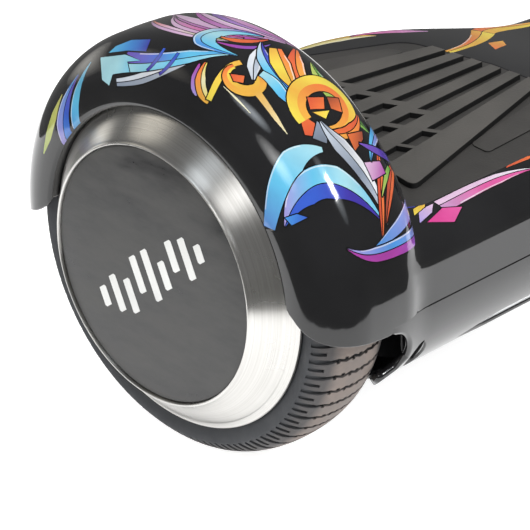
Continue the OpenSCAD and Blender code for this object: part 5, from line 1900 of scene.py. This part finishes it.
def rounded(loop, radius, wanted):
    """Replaces the chosen corners of a closed loop by short curves."""
    out = []
    n = len(loop)
    for i, corner in enumerate(loop):
        if i not in wanted:
            out.append(corner)
            continue
        before, after = np.array(loop[i - 1], float), np.array(loop[(i + 1) % n], float)
        middle = np.array(corner, float)
        one = middle + (before - middle) * radius / np.linalg.norm(before - middle)
        two = middle + (after - middle) * radius / np.linalg.norm(after - middle)
        for k in np.linspace(0, 1, 7):
            out.append(tuple((1 - k) ** 2 * one + 2 * k * (1 - k) * middle + k ** 2 * two))
    return out


def build_mat(name, side):
    """Foot mat: thin base with a rounded border, thick slab with slots, two ribs and four pegs."""
    loop = densify(mat_outline(0.0) + [mat_outline(0.0)[0]], 4)[:-1]
    base = plate(name, loop, [], MAT_RECESS, MAT_FLOOR, side, 0.9)
    slots = []
    open_end = []
    for line in range(-2, 3):
        shifted = line == -2
        rows = [(160, 176), (178.5, 194)] if shifted else [(149, 163), (167, 181)]
        if abs(line) < 2:
            rows.append((185, 199))
        slots += [slot_outline(line, start, stop) for start, stop in rows]
        open_end.append(slot_outline(line, 84, 157 if shifted else 144))
    loop = [(206, 63.5), (203, 52), (203, -52), (206, -63.5)]
    comb = [(SLAB_START, -31.5)]
    for (s0, y0), (s1, y1), (s2, y2), (s3, y3) in open_end:
        low = y0 + (y1 - y0) * (SLAB_START - s0) / (s1 - s0)
        high = y3 + (y2 - y3) * (SLAB_START - s3) / (s2 - s3)
        comb += [(SLAB_START, low), (s1, y1), (s2, y2), (SLAB_START, high)]
    comb.append((SLAB_START, 31.5))
    slab_loop = rounded(loop + comb, 6.0, (0, 3))
    top = plate(name + "_slab", slab_loop, slots, MAT_FLOOR - 0.4, MAT_TOP, side, 0.3)
    ribs = []
    rib = rounded([(98, 39), (156, 50), (158, 61), (128, 59), (100, 47)], 3.0, (0, 1, 2, 4))
    for sign in (-1, 1):
        turned = [(x, sign * y) for x, y in rib]
        ribs.append(plate(name + "_rib", turned, [], MAT_FLOOR - 0.4, MAT_FLOOR + 0.55, side, 0.4))
    pegs = []
    for x, y in ((206, 30), (100, 20)):
        for sign in (-1, 1):
            pegs.append(plate(name + "_peg", circle(x, sign * y, 2.5, 28), [], 107.0, 110.6, side, 0))
    return join_meshes(name, [base, top] + ribs + pegs)


def build_light(name, side):
    """Headlight lens: a blade-shaped clear piece, sunk a little below the skin round it."""
    def sunk(s, t):
        s, t = np.broadcast_arrays(np.asarray(s, float), np.asarray(t, float))
        shape = s.shape
        flat_s, flat_t = s.ravel(), t.ravel()
        n = surface_normals(belly_surface, flat_s, flat_t)
        return (belly_surface(flat_s, flat_t) - n * 1.3).reshape(*shape, 3)

    skin = Skin(sunk, 1.8)
    outline = light_outline(-1.0)
    spots = np.array([(s, belly_angle_t(s, a))
                      for s in np.arange(114, 197, 4.0) for a in np.arange(41, 56, 3.0)])
    spots = spots[inside(spots, outline)]
    skin.build(outline, [], [], spots, spots[::2], lip_at=lambda uv: np.full(len(uv), 0.2))
    return skin.mesh(name, side)


def build_status(name, side):
    """Status window on the waist, following its slope."""
    def sunk(s, t):
        return deck_surface(s, t) - np.array([0, 0, 0.25])

    skin = Skin(sunk, 3.0)
    skin.build(status_outline(-0.15), [], [], [(s, t) for s in (32, 36) for t in (-8, -4, 0, 4, 8)],
               [], lip_at=lambda uv: np.full(len(uv), 0.1))
    return skin.mesh(name, side)


EMBLEM_TILT = 36.0
for half, side in SIDES.items():
    body = half + "_half"
    wheel = half + "_wheel"
    add_object("shell_top_" + half, build_upper("shell_top_" + half, side), PRINTED, body,
               "upper_shell_" + half, slot="printed_gloss_shell")
    add_object("shell_base_" + half, build_lower("shell_base_" + half, side), BLACK_GLOSS, body,
               "lower_shell_" + half, slot="black_gloss_shell")
    add_object("mat_" + half, build_mat("mat_" + half, side), MAT_RUBBER, body, "foot_mat_" + half,
               slot="mat_rubber")
    add_object("light_" + half, build_light("light_" + half, side), LENS, body,
               "headlight_lens_" + half, slot="clear_lens")
    add_object("status_" + half, build_status("status_" + half, side), STATUS, body,
               "status_lens_" + half, slot="smoked_lens")
    add_object("tread_" + half, build_tyre("tread_" + half, side), TYRE, wheel, "tyre_" + half,
               slot="tyre_rubber")
    add_object("ring_" + half, lathe("ring_" + half, RING_PROFILE, side), RING_STEEL, wheel,
               "trim_ring_" + half, slot="brushed_steel")
    add_object("cap_" + half, build_cap("cap_" + half, side), CAP, wheel, "hub_cap_" + half,
               slot="satin_black_plastic")
    add_object("mark_" + half, build_emblem("mark_" + half, side, EMBLEM_TILT), EMBLEM, wheel)


# ---------------------------------------------------------------------------
# Studio: pale floor, soft lights and camera
# ---------------------------------------------------------------------------
BOARD_IN_VIEW = (-0.28, -0.04, 0.14)
FADE = (1.0, 0.82, 0.64, 0.46, 0.28)
FADE_STEP = 0.002


def aimed(obj, place, target):
    obj.location = place
    obj.rotation_euler = (Vector(target) - Vector(place)).to_track_quat("-Z", "Y").to_euler()
    return obj


def area_light(name, place, target, width, height, power):
    light = bpy.data.lights.new(name, "AREA")
    light.shape = "RECTANGLE"
    light.size = width
    light.size_y = height
    light.energy = power
    return aimed(link(bpy.data.objects.new(name, light)), place, target)


def faded_light(name, place, width, height, power, tint=(1.0, 1.0, 1.0)):
    """Light with a soft edge: ever smaller ones, one in front of the other."""
    for k, share in enumerate(FADE):
        near = Vector(place) * (1 - FADE_STEP * k)
        light = area_light(name, near, BOARD_IN_VIEW, width * share, height * share,
                           power * share ** 2 / len(FADE))
        light.data.shape = "ELLIPSE"
        light.data.color = tint


def studio_floor():
    """Pale sheet that glows a little, like a lit table, so that shadows on it stay faint."""
    mat, tree, shader = material("studio_floor", 0.9, Specular_IOR_Level=0.0)
    vector = object_coords(tree)
    grain = noise(tree, vector, 300.0, 2.0)
    tree.links.new(ramp(tree, grain, [(0.0, (0.50, 0.50, 0.50)), (1.0, (0.52, 0.52, 0.52))]),
                   shader.inputs["Base Color"])
    shader.inputs["Emission Color"].default_value = (1.0, 1.0, 1.0, 1.0)
    shader.inputs["Emission Strength"].default_value = 0.86
    size = 4.0
    corners = [(-size, -size, 0), (size, -size, 0), (size, size, 0), (-size, size, 0)]
    mesh = mesh_from("studio_floor", corners, [[0, 1, 2, 3]], 1.0)
    mesh.materials.append(mat)
    floor = link(bpy.data.objects.new("studio_floor", mesh))
    floor.location.z = -0.0005


def reflection_only(obj):
    """Seen in reflections, and nowhere else."""
    obj.visible_camera = False
    obj.visible_diffuse = False
    obj.visible_transmission = False
    obj.visible_volume_scatter = False
    obj.visible_shadow = False


def dark_surround():
    """Dark room beyond the edge of the lit table, which the gloss reflects."""
    mat, tree, shader = material("dark_surround", 0.9, Specular_IOR_Level=0.0)
    shader.inputs["Base Color"].default_value = (0.0, 0.0, 0.0, 1.0)
    shader.inputs["Emission Strength"].default_value = 1.0
    vector = object_coords(tree)
    cloud = noise(tree, vector, 2.0, 2.0)
    tree.links.new(ramp(tree, cloud, [(0.3, (0.15, 0.15, 0.145)), (0.7, (0.21, 0.21, 0.205))]),
                   shader.inputs["Emission Color"])
    edge = [(-0.485, 0.50), (-0.47, -0.10), (-0.43, -0.19), (-0.36, -0.25), (-0.24, -0.287),
            (-0.11, -0.285), (-0.04, -0.235)]
    far = [(-6, 6), (-6, -1), (-6, -3), (-5, -6), (-3, -6), (-1, -6), (-0.4, -6)]
    edge += [(-x, y) for x, y in edge[::-1]]
    far += [(-x, y) for x, y in far[::-1]]
    n = len(edge)
    points = [(x, y, 0.0) for x, y in edge + far]
    faces = [[i, n + i, n + (i + 1) % n, (i + 1) % n] for i in range(n)]
    mesh = mesh_from("dark_surround", points, faces, 1.0)
    mesh.materials.append(mat)
    surround = link(bpy.data.objects.new("dark_surround", mesh))
    surround.location.z = 0.0005
    reflection_only(surround)


studio_floor()
dark_surround()
world = bpy.data.worlds.new("studio")
world.use_nodes = True
world.node_tree.nodes["Background"].inputs["Color"].default_value = (1.0, 1.0, 1.0, 1)
world.node_tree.nodes["Background"].inputs["Strength"].default_value = 0.2
bpy.context.scene.world = world
bpy.context.scene.view_settings.view_transform = "Standard"

SOFT = [("key", (-0.9, -1.5, 2.2), 1.6, 1.4, 52), ("fill", (1.6, 0.8, 2.2), 1.8, 1.4, 28),
        ("top", (0.0, 0.2, 2.8), 2.4, 2.0, 40), ("side", (-2.2, 0.3, 1.2), 1.4, 1.2, 14)]
for name, place, width, height, power in SOFT:
    area_light(name, place, (0, 0, 0.1), width, height, power).visible_glossy = False
area_light("strip", (0.19, -1.22, 0.98), (-0.27, -0.08, 0.14), 0.24, 0.30, 9)
faded_light("strip_halo", (0.19, -1.22, 0.98), 0.50, 0.95, 4, (0.86, 0.93, 1.0))
faded_light("glow", (-1.0, -0.13, 1.45), 0.66, 0.46, 4.5, (0.86, 0.93, 1.0))
faded_light("card_left", (-1.75, -0.55, 1.15), 0.9, 0.8, 10)
faded_light("card_back", (-1.1, 1.4, 1.2), 1.4, 0.9, 3.6, (1.0, 0.94, 0.82))
faded_light("card_rear", (-0.30, 2.6, 0.42), 2.0, 0.8, 6.0, (1.0, 0.97, 0.90))

CAMERA_PLACE = Vector((-0.948893, -0.732736, 0.569208))
SENSOR_WIDTH = 36.0
CAMERA_AZIMUTH, CAMERA_ELEVATION, CAMERA_ROLL = -44.55471, 26.05514, -1.478995
# Focal length as a share of the picture's width
FOCAL_SHARE = 2759.485 / 530.0
az, el = math.radians(CAMERA_AZIMUTH), math.radians(CAMERA_ELEVATION)
back = Vector((math.sin(az) * math.cos(el), -math.cos(az) * math.cos(el), math.sin(el)))
right = Vector((0, 0, 1)).cross(back).normalized()
up = back.cross(right)
roll = math.radians(CAMERA_ROLL)
turned_right = right * math.cos(roll) + up * math.sin(roll)
turned_up = -right * math.sin(roll) + up * math.cos(roll)
camera_data = bpy.data.cameras.new("camera")
camera_data.sensor_width = SENSOR_WIDTH
camera_data.lens = FOCAL_SHARE * SENSOR_WIDTH
camera_data.clip_start = 0.05
camera_data.dof.use_dof = False
camera = link(bpy.data.objects.new("camera", camera_data))
basis = Matrix((turned_right, turned_up, back)).transposed().to_4x4()
camera.matrix_world = Matrix.Translation(CAMERA_PLACE) @ basis
bpy.context.scene.camera = camera
